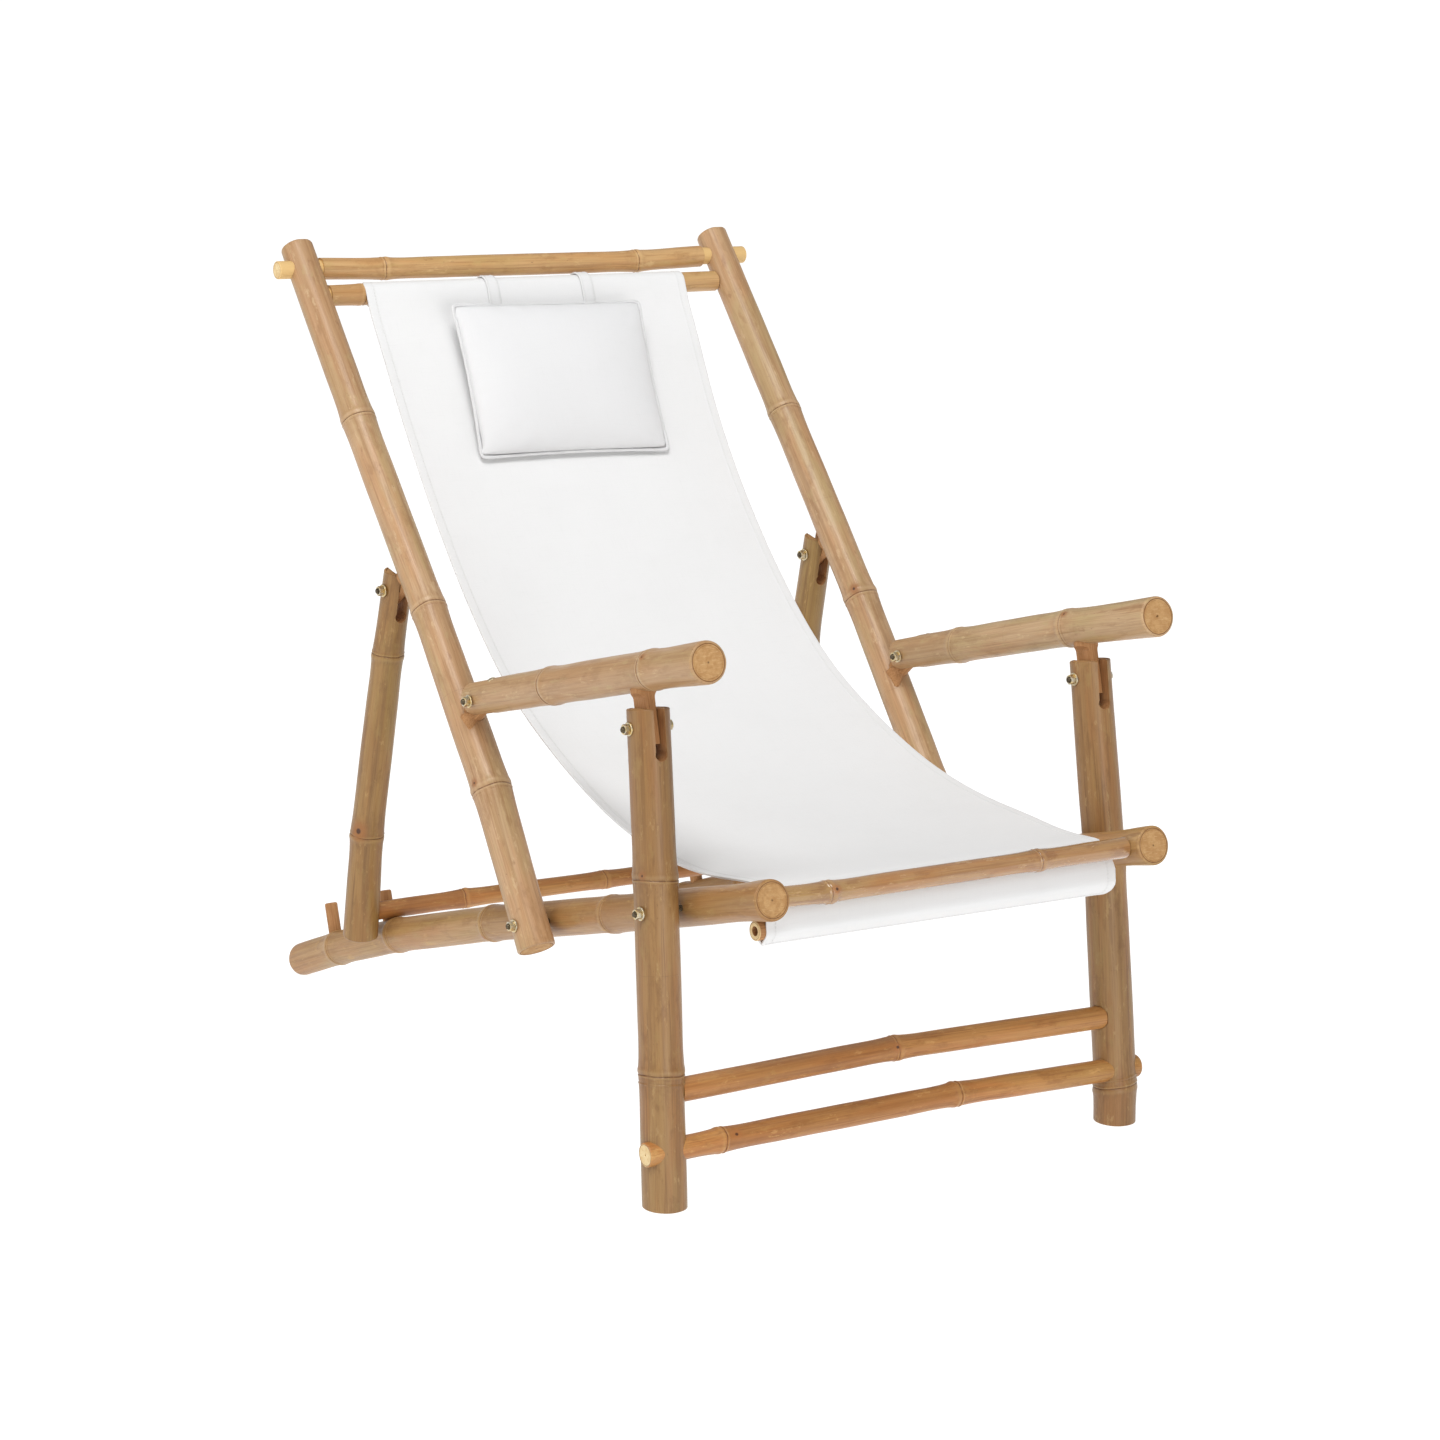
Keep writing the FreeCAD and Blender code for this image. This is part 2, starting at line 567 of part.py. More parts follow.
# ---------------------------------------------------------------- canvas sling
# The one canvas crosses the recline hinge, so its solid is carried in two sections.
def sheet_section(name, path, thick, width=None, width_expr="dims.canvas_half_width * 2"):
    """A closed solid: the path (y, z) thickened towards its underside, padded across X."""
    up, lo = [], []
    n = len(path)
    for i in range(n):
        a = path[max(i - 1, 0)]
        b = path[min(i + 1, n - 1)]
        t = V(0, b[0] - a[0], b[1] - a[1]).normalize()
        nrm = V(0, t.z, -t.y)
        up.append(path[i])
        lo.append((path[i][0] + nrm.y * thick, path[i][1] + nrm.z * thick))
    body = doc.addObject("PartDesign::Body", name)
    plane = [f for f in body.Origin.OriginFeatures if f.Role == "YZ_Plane"][0]
    sk = body.newObject("Sketcher::SketchObject", name + "_profile")
    sk.AttachmentSupport = [(plane, "")]
    sk.MapMode = "FlatFace"
    loop = up + lo[::-1]
    m = len(loop)
    for i in range(m):
        a, b = loop[i], loop[(i + 1) % m]
        sk.addGeometry(Part.LineSegment(V(a[0], a[1], 0), V(b[0], b[1], 0)), False)
    pad = body.newObject("PartDesign::Pad", name + "_pad")
    pad.Profile = sk
    if hasattr(pad, "SideType"):
        pad.SideType = "Symmetric"
    else:
        pad.Midplane = True
    pad.Length = width or 2 * VAL["canvas_half_width"]
    pad.setExpression("Length", width_expr)
    body.Tip = pad
    return body


def sleeve(p, r_bar, r_alias):
    g, w = VAL["sleeve_gap"], VAL["sleeve_wall"]
    hw = VAL["canvas_half_width"]
    o = cyl(V(-hw, p[0], p[1]), V(1, 0, 0), r_bar + g + w, 2 * hw,
            "dims.%s + dims.sleeve_gap + dims.sleeve_wall" % r_alias, "sleeve")
    i = cyl(V(-hw - 5, p[0], p[1]), V(1, 0, 0), r_bar + g + 1.0, 2 * hw + 10,
            "dims.%s + dims.sleeve_gap + 1.0" % r_alias, "sleeve_bore")
    return o, i


# seat section, from the hem dowel behind the front crossbar to the hinge
SEAT_PATH = [(-429.5, 289.4), (-427.5, 302.0), (-421.0, 311.5), (-408.0, 315.5), (-385.0, 315.2), (-330.0, 312.0),
             (-265.0, 311.5), (-205.0, 316.5), (-145.0, 327.5), (-92.0, 343.0)]
BACK_PATH = [(-86.0, 345.2), (-30.0, 366.5), (34.0, 397.0), (88.0, 433.0), (145.0, 482.0), (195.0, 532.5),
             (245.0, 590.5), (293.0, 655.0), (335.0, 720.0), (371.5, 784.0)]
seat_sheet = sheet_section("sling_seat_sheet", SEAT_PATH, VAL["canvas_thick"])
so, si = sleeve(DOWEL, VAL["dowel_radius"], "dowel_radius")
node(cut(fuse([seat_sheet, so], "seat_cloth"), [si], "seat_section"), "sling_seat_section")
back_sheet = sheet_section("sling_back_sheet", BACK_PATH, VAL["canvas_thick"])
bo, bi = sleeve(CANVAS_BAR, VAL["canvas_bar_radius"], "canvas_bar_radius")
node(cut(fuse([back_sheet, bo], "back_cloth"), [bi], "back_section"), "sling_back_section")

# ---------------------------------------------------------------- pillow and its straps
t = V(0, 335.0 - 245.0, 720.0 - 590.5).normalize()
nf = V(0, -t.z, t.y)
pc = V(3.6, 309.0, 684.0) + nf * (VAL["pillow_thick"] / 2.0 + 3.0)
pb = doc.addObject("Part::Box", "pillow_block")
pb.Length, pb.Width, pb.Height = VAL["pillow_width"], VAL["pillow_thick"], VAL["pillow_height"]
expr(pb, "Length", "dims.pillow_width")
expr(pb, "Width", "dims.pillow_thick")
expr(pb, "Height", "dims.pillow_height")
pl = frame_along(pc, t)
pb.Placement = pl.multiply(FreeCAD.Placement(V(-VAL["pillow_width"] / 2, -VAL["pillow_thick"] / 2,
                                               -VAL["pillow_height"] / 2), FreeCAD.Rotation()))
doc.recompute()
pf = doc.addObject("Part::Fillet", "pillow_rounded")
pf.Base = pb
pf.Edges = [(i + 1, 18.0, 18.0) for i in range(12)]
node(pf, "pillow")

# each strap: from the pillow's top edge over the canvas bar and down the rear face of the canvas
strap_objs = []
STRAP_PATH = [(342.2, 774.3)]
for deg in (150, 132, 114, 96, 78, 60, 42, 24, 6, -12, -30, -48, -65):
    STRAP_PATH.append((CANVAS_BAR[0] + 16.2 * math.cos(math.radians(deg)),
                       CANVAS_BAR[1] + 16.2 * math.sin(math.radians(deg))))
STRAP_PATH += [(353.8, 742.3), (341.5, 720.6)]
for i, xs in enumerate((-44.0, 78.0)):
    strap = sheet_section("pillow_strap_%d" % (i + 1), STRAP_PATH, VAL["strap_thick"], VAL["strap_width"],
                          "dims.strap_width")
    strap.Placement = FreeCAD.Placement(V(xs, 0, 0), FreeCAD.Rotation())
    strap_objs.append(strap)
straps = doc.addObject("Part::Compound", "straps")
straps.Links = strap_objs
node(straps, "pillow_straps")

# ---------------------------------------------------------------- checks and output
doc.recompute()
bad = []
for o in doc.Objects:
    st = list(o.State)
    if "Invalid" in st or "Error" in st:
        bad.append((o.Name, o.Label, st))
for o in NODES:
    if o.Shape.isNull() or not o.Shape.isValid() or o.Shape.Volume <= 0:
        bad.append((o.Label, "shape"))
if bad:
    for b in bad:
        print("BAD", b)
    raise SystemExit("model has failed objects")
for o in NODES:
    s = o.Shape
    print("%-24s solids %2d  volume %10.0f  box %s" % (
        o.Label, len(s.Solids), s.Volume,
        " ".join("%.1f" % v for v in (s.BoundBox.XMin, s.BoundBox.XMax, s.BoundBox.YMin, s.BoundBox.YMax,
                                      s.BoundBox.ZMin, s.BoundBox.ZMax))))
    s.exportStep("parts/%s.step" % o.Label)
print("nodes", len(NODES))
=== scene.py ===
import math
import bpy
import numpy as np
from mathutils import Matrix, Vector


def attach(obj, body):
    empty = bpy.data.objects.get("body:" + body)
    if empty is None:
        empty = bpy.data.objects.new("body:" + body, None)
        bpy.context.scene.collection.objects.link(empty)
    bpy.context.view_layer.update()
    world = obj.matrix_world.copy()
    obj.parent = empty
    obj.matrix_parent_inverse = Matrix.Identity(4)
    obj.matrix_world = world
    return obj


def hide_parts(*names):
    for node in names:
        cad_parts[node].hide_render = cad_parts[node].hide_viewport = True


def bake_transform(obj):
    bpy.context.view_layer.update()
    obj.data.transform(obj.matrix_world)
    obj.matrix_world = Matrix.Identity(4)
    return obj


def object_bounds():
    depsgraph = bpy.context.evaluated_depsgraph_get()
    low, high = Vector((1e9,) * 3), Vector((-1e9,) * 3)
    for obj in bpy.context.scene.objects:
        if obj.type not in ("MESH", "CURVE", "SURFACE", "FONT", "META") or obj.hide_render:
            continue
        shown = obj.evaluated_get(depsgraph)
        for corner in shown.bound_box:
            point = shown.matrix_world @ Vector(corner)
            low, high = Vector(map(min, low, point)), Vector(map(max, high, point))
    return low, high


# Bamboo folding recliner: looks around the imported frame. Lengths in this file are millimetres
# until a mesh is made; meshes are metres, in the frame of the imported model.
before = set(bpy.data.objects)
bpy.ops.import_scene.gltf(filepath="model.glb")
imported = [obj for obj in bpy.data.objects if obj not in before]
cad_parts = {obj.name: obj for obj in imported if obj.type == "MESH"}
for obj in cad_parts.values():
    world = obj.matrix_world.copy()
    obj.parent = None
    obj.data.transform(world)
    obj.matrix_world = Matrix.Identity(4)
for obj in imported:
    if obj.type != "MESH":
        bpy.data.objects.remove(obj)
cad_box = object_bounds()
MM = 0.001
SC = bpy.context.scene
TAU = 2.0 * math.pi

WORLD_STRENGTH = 0.42
LIGHTS = [("key", (-1.75, -1.85, 4.75), (0.0, -0.1, 0.4), 2.2, 155.0),
          ("side", (-4.0, 1.0, 2.0), (0.0, 0.0, 0.4), 2.5, 40.0),
          ("front", (-0.6, -4.4, 0.7), (0.0, -0.2, 0.35), 2.0, 44.0)]


def A(*v):
    return np.array(v, float)


def unit(v):
    v = np.asarray(v, float)
    return v / np.linalg.norm(v)


def rnd(*seed):
    """A fixed number in 0..1 for these integers."""
    x = 12.9898
    for i, s in enumerate(seed):
        x += (s + 1.37) * (78.233 + 31.7 * i)
    v = math.sin(x) * 43758.5453
    return v - math.floor(v)


# ------------------------------------------------------------------ materials
class Mat:
    """Short calls for building a node material."""

    def __init__(self, name):
        self.m = bpy.data.materials.new(name)
        self.m.use_nodes = True
        self.nt = self.m.node_tree
        self.nt.nodes.clear()

    def n(self, kind, **props):
        node = self.nt.nodes.new(kind)
        for k, v in props.items():
            setattr(node, k, v)
        return node

    def put(self, sock, v):
        if isinstance(v, bpy.types.NodeSocket):
            self.nt.links.new(v, sock)
        elif v is not None:
            if hasattr(sock.default_value, "__len__"):
                v = list(v) if hasattr(v, "__len__") else [v] * len(sock.default_value)
                if len(v) == 3 and len(sock.default_value) == 4:
                    v = v + [1.0]
            sock.default_value = v

    def math(self, op, a, b=None, c=None, clamp=False):
        node = self.n("ShaderNodeMath", operation=op, use_clamp=clamp)
        for i, v in enumerate((a, b, c)):
            if v is not None:
                self.put(node.inputs[i], v)
        return node.outputs[0]

    def vmul(self, vec, s, add=(0, 0, 0)):
        node = self.n("ShaderNodeVectorMath", operation="MULTIPLY_ADD")
        self.put(node.inputs[0], vec)
        self.put(node.inputs[1], s)
        self.put(node.inputs[2], add)
        return node.outputs[0]

    def mix(self, fac, a, b, mode="MIX"):
        node = self.n("ShaderNodeMix", data_type="RGBA", blend_type=mode, clamp_factor=True)
        self.put(node.inputs[0], fac)
        self.put(node.inputs[6], a)
        self.put(node.inputs[7], b)
        return node.outputs[2]

    def step(self, x, lo, hi, a=0.0, b=1.0):
        """Smooth step of x from lo to hi, giving a to b."""
        node = self.n("ShaderNodeMapRange", interpolation_type="SMOOTHSTEP")
        for i, v in enumerate((x, lo, hi, a, b)):
            self.put(node.inputs[i], v)
        return node.outputs[0]

    def noise(self, vec, scale=1.0, detail=2.0, rough=0.5, dist=0.0):
        node = self.n("ShaderNodeTexNoise")
        self.put(node.inputs["Vector"], vec)
        self.put(node.inputs["Scale"], scale)
        self.put(node.inputs["Detail"], detail)
        self.put(node.inputs["Roughness"], rough)
        self.put(node.inputs["Distortion"], dist)
        return node.outputs[0]

    def voronoi(self, vec, scale=1.0, feature="F1"):
        node = self.n("ShaderNodeTexVoronoi", feature=feature)
        self.put(node.inputs["Vector"], vec)
        self.put(node.inputs["Scale"], scale)
        return node.outputs[0]

    def attr(self, name):
        return self.n("ShaderNodeAttribute", attribute_name=name)

    def xyz(self, vec):
        node = self.n("ShaderNodeSeparateXYZ")
        self.put(node.inputs[0], vec)
        return node.outputs

    def bell(self, x, centre, width):
        """1 at centre, 0 beyond width either side."""
        d = self.math("ABSOLUTE", self.math("SUBTRACT", x, centre))
        return self.step(d, 0.0, width, 1.0, 0.0)

    def bump(self, height, strength, distance, normal=None):
        node = self.n("ShaderNodeBump")
        self.put(node.inputs["Strength"], strength)
        self.put(node.inputs["Distance"], distance)
        self.put(node.inputs["Height"], height)
        if normal is not None:
            self.put(node.inputs["Normal"], normal)
        return node.outputs[0]

    def finish(self, color, rough, normal=None, metal=0.0, spec=0.5, coat=0.0, coat_rough=0.2, sheen=0.0, **more):
        b = self.n("ShaderNodeBsdfPrincipled")
        self.put(b.inputs["Base Color"], color)
        self.put(b.inputs["Roughness"], rough)
        b.inputs["Metallic"].default_value = metal
        b.inputs["Specular IOR Level"].default_value = spec
        b.inputs["Coat Weight"].default_value = coat
        b.inputs["Coat Roughness"].default_value = coat_rough
        b.inputs["Sheen Weight"].default_value = sheen
        for k, v in more.items():
            b.inputs[k].default_value = v
        if normal is not None:
            self.put(b.inputs["Normal"], normal)
        o = self.n("ShaderNodeOutputMaterial")
        self.nt.links.new(b.outputs[0], o.inputs[0])
        return self.m


def lin(r, g, b):
    """Linear colour from display values 0..255."""
    out = []
    for v in (r, g, b):
        v = v / 255.0
        out.append(v / 12.92 if v <= 0.04045 else ((v + 0.055) / 1.055) ** 2.4)
    return tuple(out)


def bamboo(name, tan, warm, green, shade, rough=0.42, coat=0.12, coat_rough=0.25, mottle=1.0, tone=None,
           pale=lin(220, 193, 154)):
    """Skin of a culm. Attribute cc is the place along and around the culm in centimetres, nd the signed
    distance from the nearest node in millimetres, ax the internode's tone, the knot mask and the tenon mask."""
    t = Mat(name)
    cc = t.attr("cc").outputs["Vector"]
    nd = t.attr("nd").outputs["Fac"]
    iv, kn, tn = t.xyz(t.attr("ax").outputs["Vector"])
    broad = t.noise(t.vmul(cc, (0.55, 0.55, 0.085)), 1.0, 2.0, 0.55)
    broad2 = t.noise(t.vmul(cc, (0.42, 0.42, 0.06), (31.0, 7.0, 3.0)), 1.0, 2.0, 0.5)
    col = t.mix(t.math("MULTIPLY", t.step(broad, 0.42, 0.62), mottle), tan, warm)
    col = t.mix(t.math("MULTIPLY", t.step(broad2, 0.5, 0.66), 0.85 * mottle), col, green)
    # each internode has a tone of its own
    col = t.mix(t.step(iv, 0.0, 1.0, 0.0, 0.42), col, warm)
    col = t.mix(t.step(iv, 0.5, 1.0, 0.0, 0.34), col, shade)
    # fibres run along the culm
    fib = t.noise(t.vmul(cc, (8.5, 8.5, 0.16)), 1.0, 3.0, 0.6)
    fine = t.noise(t.vmul(cc, (26.0, 26.0, 0.5), (3.0, 5.0, 1.0)), 1.0, 2.0, 0.6)
    streak = t.noise(t.vmul(cc, (3.2, 3.2, 0.07), (11.0, 2.0, 9.0)), 1.0, 3.0, 0.65)
    wide = t.noise(t.vmul(cc, (1.5, 1.5, 0.05), (2.0, 21.0, 14.0)), 1.0, 2.0, 0.55)
    col = t.mix(t.step(fib, 0.3, 0.72, 0.0, 0.34), col, shade)
    col = t.mix(t.step(streak, 0.53, 0.70, 0.0, 0.62 * mottle), col, shade)
    col = t.mix(t.step(wide, 0.50, 0.68, 0.0, 0.42 * mottle), col, shade)
    col = t.mix(t.step(fine, 0.5, 0.8, 0.0, 0.16), col, pale)
    # cloudy stains left by drying and handling
    stain = t.noise(t.vmul(cc, (0.75, 0.75, 0.28), (41.0, 3.0, 6.0)), 1.0, 5.0, 0.66)
    col = t.mix(t.step(stain, 0.52, 0.68, 0.0, 0.46 * mottle), col, shade)
    stain2 = t.noise(t.vmul(cc, (0.9, 0.9, 0.33), (7.0, 51.0, 16.0)), 1.0, 5.0, 0.68)
    col = t.mix(t.step(stain2, 0.54, 0.68, 0.0, 0.5 * mottle), col, green)
    # toasted below each node, a soft pale ridge painted as a highlight, a thin brown line in its groove
    wob = t.noise(t.vmul(cc, (1.7, 1.7, 1.7), (0.0, 9.0, 4.0)), 1.0, 2.0, 0.6)
    near = t.math("MULTIPLY", t.bell(nd, -9.0, 26.0), t.step(wob, 0.3, 0.7, 0.15, 0.75))
    col = t.mix(t.math("MULTIPLY", near, 0.45), col, shade)
    # painted highlight: the ridge above each node is lightened
    col = t.mix(t.math("MULTIPLY", t.bell(nd, 2.8, 3.4), 0.26), col, pale)
    col = t.mix(t.math("MULTIPLY", t.bell(nd, -1.9, 1.4), 0.30), col, pale)
    line = t.math("MULTIPLY", t.bell(nd, -0.55, 0.95), t.step(wob, 0.28, 0.58, 0.35, 1.0))
    line2 = t.math("MULTIPLY", t.bell(nd, -4.4, 0.85), t.step(wob, 0.38, 0.62, 0.1, 0.9))
    col = t.mix(t.math("MULTIPLY", line, 0.85), col, lin(112, 70, 40))
    col = t.mix(t.math("MULTIPLY", line2, 0.6), col, lin(142, 98, 62))
    # worn, pale patches and short scuffs
    worn = t.noise(t.vmul(cc, (1.25, 1.25, 0.42), (5.0, 17.0, 8.0)), 1.0, 5.0, 0.72)
    wornm = t.step(worn, 0.58, 0.68, 0.0, 0.55)
    col = t.mix(wornm, col, pale)
    # small dark flecks and burnt spots
    fl = t.noise(t.vmul(cc, (5.2, 5.2, 1.7), (1.0, 3.0, 29.0)), 1.0, 3.0, 0.7)
    flm = t.step(fl, 0.66, 0.74, 0.0, 0.62)
    col = t.mix(flm, col, lin(122, 84, 50))
    spot = t.noise(t.vmul(cc, (0.9, 0.9, 0.45), (13.0, 23.0, 2.0)), 1.0, 4.0, 0.62)
    spm = t.step(spot, 0.64, 0.75, 0.0, 0.55 * mottle)
    col = t.mix(spm, col, lin(150, 106, 68))
    # branch scars
    col = t.mix(t.step(kn, 0.12, 0.6, 0.0, 0.8), col, lin(160, 106, 62))
    col = t.mix(t.step(kn, 0.72, 0.9, 0.0, 0.95), col, lin(74, 42, 24))
    # turned tenons show bare wood
    col = t.mix(t.math("MULTIPLY", tn, t.step(fib, 0.2, 0.8, 0.75, 1.0)), col, lin(220, 190, 142))
    if tone:
        col = t.mix(1.0, col, tone, "MULTIPLY")
    r = t.math("ADD", t.step(fib, 0.25, 0.75, rough - 0.07, rough + 0.09), t.math("MULTIPLY", wornm, 0.3))
    r = t.math("ADD", r, t.math("MULTIPLY", tn, 0.2), clamp=True)
    h = t.math("ADD", t.math("MULTIPLY", fib, 0.55), t.math("MULTIPLY", fine, 0.3))
    h = t.math("SUBTRACT", h, t.math("MULTIPLY", flm, 0.5))
    h = t.math("SUBTRACT", h, t.math("MULTIPLY", line, 0.9))
    h = t.math("ADD", h, t.math("MULTIPLY", t.noise(t.vmul(cc, (1.6, 1.6, 0.5)), 1.0, 2.0, 0.5), 1.1))
    return t.finish(col, r, t.bump(h, 0.55, 0.00045), coat=coat, coat_rough=coat_rough, spec=0.42)


def end_grain(name, face, rim, dot):
    """Sawn end of a culm: fibre ends, a darker rind, saw marks."""
    t = Mat(name)
    cc = t.attr("cc").outputs["Vector"]
    rf = t.attr("rf").outputs["Fac"]
    flat = t.vmul(cc, (1.0, 1.0, 0.02))
    v = t.voronoi(flat, 21.0)
    big = t.noise(flat, 1.6, 3.0, 0.6)
    saw = t.noise(t.vmul(cc, (1.2, 14.0, 0.02)), 1.0, 3.0, 0.6)
    ring = t.noise(t.vmul(cc, (0.02, 0.02, 0.02), (0, 0, 0)), 1.0, 0.0)
    col = t.mix(t.step(big, 0.35, 0.65, 0.0, 0.7), face, rim)
    col = t.mix(t.step(v, 0.1, 0.36, 0.34, 0.0), col, dot)
    col = t.mix(t.step(saw, 0.55, 0.7, 0.0, 0.3), col, lin(228, 198, 150))
    col = t.mix(t.step(rf, 0.84, 0.97, 0.0, 0.55), col, rim)
    col = t.mix(t.bell(rf, 0.865, 0.035), col, lin(96, 60, 34))
    # painted shade: the centre is darkened as the shade inside its hole
    col = t.mix(t.step(rf, 0.0, 0.085, 0.85, 0.0), col, lin(60, 36, 20))
    h = t.math("ADD", t.math("MULTIPLY", v, 0.5), t.math("MULTIPLY", saw, 0.7))
    return t.finish(col, t.step(big, 0.3, 0.7, 0.62, 0.8), t.bump(h, 0.6, 0.0004), spec=0.3)


def cut_wood(name, base, dark):
    """Inside of a slot or bore, and turned or whittled dowels."""
    t = Mat(name)
    cc = t.attr("cc").outputs["Vector"]
    fib = t.noise(t.vmul(cc, (9.0, 9.0, 0.3)), 1.0, 4.0, 0.65)
    big = t.noise(t.vmul(cc, (1.0, 1.0, 0.25), (4.0, 4.0, 4.0)), 1.0, 3.0, 0.6)
    pore = t.noise(t.vmul(cc, (18.0, 18.0, 1.2), (2.0, 8.0, 0.0)), 1.0, 2.0, 0.6)
    col = t.mix(t.step(fib, 0.35, 0.68, 0.0, 0.65), base, dark)
    col = t.mix(t.step(big, 0.45, 0.7, 0.0, 0.45), col, dark)
    col = t.mix(t.step(pore, 0.66, 0.74, 0.0, 0.6), col, lin(96, 60, 34))
    h = t.math("ADD", fib, t.math("MULTIPLY", pore, -0.5))
    return t.finish(col, t.step(fib, 0.3, 0.7, 0.6, 0.78), t.bump(h, 0.6, 0.0004), spec=0.3)


def zinc(name):
    """Yellow-passivated zinc plate, a little tarnished."""
    t = Mat(name)
    g = t.n("ShaderNodeNewGeometry")
    p = g.outputs["Position"]
    big = t.noise(t.vmul(p, (220.0, 220.0, 220.0)), 1.0, 3.0, 0.6)
    fine = t.noise(t.vmul(p, (1500.0, 1500.0, 1500.0)), 1.0, 3.0, 0.6)
    col = t.mix(t.step(big, 0.35, 0.65), lin(214, 190, 138), lin(196, 188, 170))
    col = t.mix(t.step(fine, 0.58, 0.75, 0.0, 0.6), col, lin(120, 92, 60))
    return t.finish(col, t.step(fine, 0.3, 0.7, 0.26, 0.46), t.bump(t.math("ADD", big, fine), 0.35, 0.0002), metal=1.0)


def dark_zinc(name):
    """Threaded ends of the bolts, painted darker as shade for the thread's roots, mottled by fine noise."""
    t = Mat(name)
    g = t.n("ShaderNodeNewGeometry")
    p = g.outputs["Position"]
    fine = t.noise(t.vmul(p, (900.0, 900.0, 900.0)), 1.0, 3.0, 0.6)
    # painted shade: the whole thread is darkened for its shaded roots
    col = t.mix(t.step(fine, 0.35, 0.65), lin(110, 98, 78), lin(70, 60, 46))
    return t.finish(col, t.step(fine, 0.3, 0.7, 0.35, 0.55), t.bump(fine, 0.3, 0.0002), metal=1.0)


def cloth(name, base, dark, pitch, rough=0.9, sheen=0.0, strength=0.35, blotch=0.25):
    """Woven cloth. Attribute cv is the place on the sheet in millimetres, with painted shade along seams and edges in
    its third value.
    """
    t = Mat(name)
    cv = t.attr("cv").outputs["Vector"]
    x, y, seam_shade = t.xyz(cv)
    sx = t.math("ABSOLUTE", t.math("SINE", t.math("MULTIPLY", x, math.pi / pitch)))
    sy = t.math("ABSOLUTE", t.math("SINE", t.math("MULTIPLY", y, math.pi / pitch)))
    ch = t.n("ShaderNodeTexChecker")
    t.put(ch.inputs["Vector"], t.vmul(cv, (1.0, 1.0, 0.0), (0.01, 0.01, 0.5)))
    t.put(ch.inputs["Scale"], 1.0 / pitch)
    over = ch.outputs["Fac"]
    weave = t.math("ADD", t.math("MULTIPLY", sx, over),
                   t.math("MULTIPLY", sy, t.math("SUBTRACT", 1.0, over)))
    slub = t.noise(t.vmul(cv, (0.9, 0.04, 0.0)), 1.0, 2.0, 0.5)
    slub2 = t.noise(t.vmul(cv, (0.04, 0.9, 0.0), (7.0, 3.0, 0.0)), 1.0, 2.0, 0.5)
    big = t.noise(t.vmul(cv, (0.011, 0.011, 0.0)), 1.0, 4.0, 0.6)
    col = t.mix(t.step(weave, 0.0, 0.6, 0.16, 0.0), base, dark)
    col = t.mix(t.step(slub, 0.55, 0.75, 0.0, 0.08), col, dark)
    col = t.mix(t.step(slub2, 0.55, 0.75, 0.0, 0.08), col, dark)
    col = t.mix(t.step(big, 0.4, 0.75, 0.0, blotch * 0.25), col, dark)
    # painted shade along seams, hems and strap edges
    col = t.mix(t.math("MULTIPLY", seam_shade, 0.2), col, dark)
    h = t.math("ADD", weave, t.math("MULTIPLY", t.math("ADD", slub, slub2), 0.8))
    return t.finish(col, t.step(weave, 0.0, 1.0, rough + 0.05, rough - 0.05), t.bump(h, strength, 0.00025),
                    spec=0.15, sheen=sheen)


PALE_TONES = (lin(203, 170, 132), lin(199, 157, 114), lin(190, 165, 118), lin(156, 116, 76))
POLE_M = bamboo("bamboo_pole", *PALE_TONES, pale=lin(216, 188, 150), tone=(0.84, 0.81, 0.775))
ARM_M = bamboo("bamboo_armrest", *PALE_TONES, pale=lin(216, 188, 150), tone=(0.86, 0.855, 0.81))
PALE = bamboo("bamboo_pale", *PALE_TONES, pale=lin(216, 188, 150), tone=(1.0, 0.93, 0.73))
RAIL_M = bamboo("bamboo_rail", lin(184, 146, 101), lin(180, 134, 87), lin(174, 143, 95), lin(140, 100, 60),
                pale=lin(204, 170, 126), tone=(0.87, 0.83, 0.69))
PROP_M = bamboo("bamboo_prop", lin(167, 132, 88), lin(158, 117, 72), lin(159, 132, 85), lin(120, 86, 50),
                pale=lin(190, 157, 113), tone=(0.84, 0.79, 0.60))
TOAST = bamboo("bamboo_toasted", lin(178, 140, 93), lin(174, 125, 76), lin(170, 138, 88), lin(130, 90, 52),
               pale=lin(196, 162, 116), tone=(0.72, 0.70, 0.60))
STRETCH = bamboo("bamboo_stretcher", lin(184, 138, 88), lin(178, 122, 72), lin(170, 132, 82), lin(132, 86, 46),
                 pale=lin(198, 158, 108), tone=(1.06, 0.98, 0.76))
VARN = bamboo("bamboo_varnished", lin(178, 138, 92), lin(170, 120, 70), lin(170, 136, 84), lin(128, 84, 48),
              rough=0.22, coat=1.0, coat_rough=0.07, pale=lin(192, 156, 108))
END = end_grain("bamboo_end_grain", lin(184, 144, 95), lin(163, 120, 74), lin(124, 85, 48))
END_PALE = end_grain("bamboo_end_grain_pale", lin(228, 204, 156), lin(206, 172, 120), lin(170, 130, 84))
CUT = cut_wood("bamboo_cut", lin(176, 128, 82), lin(136, 92, 54))
CUT_PALE = cut_wood("bamboo_cut_pale", lin(206, 168, 120), lin(180, 138, 92))
DOWEL_M = cut_wood("dowel_wood", lin(182, 134, 88), lin(146, 100, 60))
DOWEL_PALE = cut_wood("dowel_wood_pale", lin(218, 184, 134), lin(196, 154, 104))
ZINC = zinc("zinc_plate")
THREAD_M = dark_zinc("bolt_thread")
CANVAS = cloth("canvas_white", (0.80, 0.80, 0.80), (0.60, 0.60, 0.59), 0.85, strength=0.35)
PILLOW_M = cloth("pillow_cotton", (0.745, 0.745, 0.75), (0.585, 0.585, 0.585), 0.6, strength=0.3)
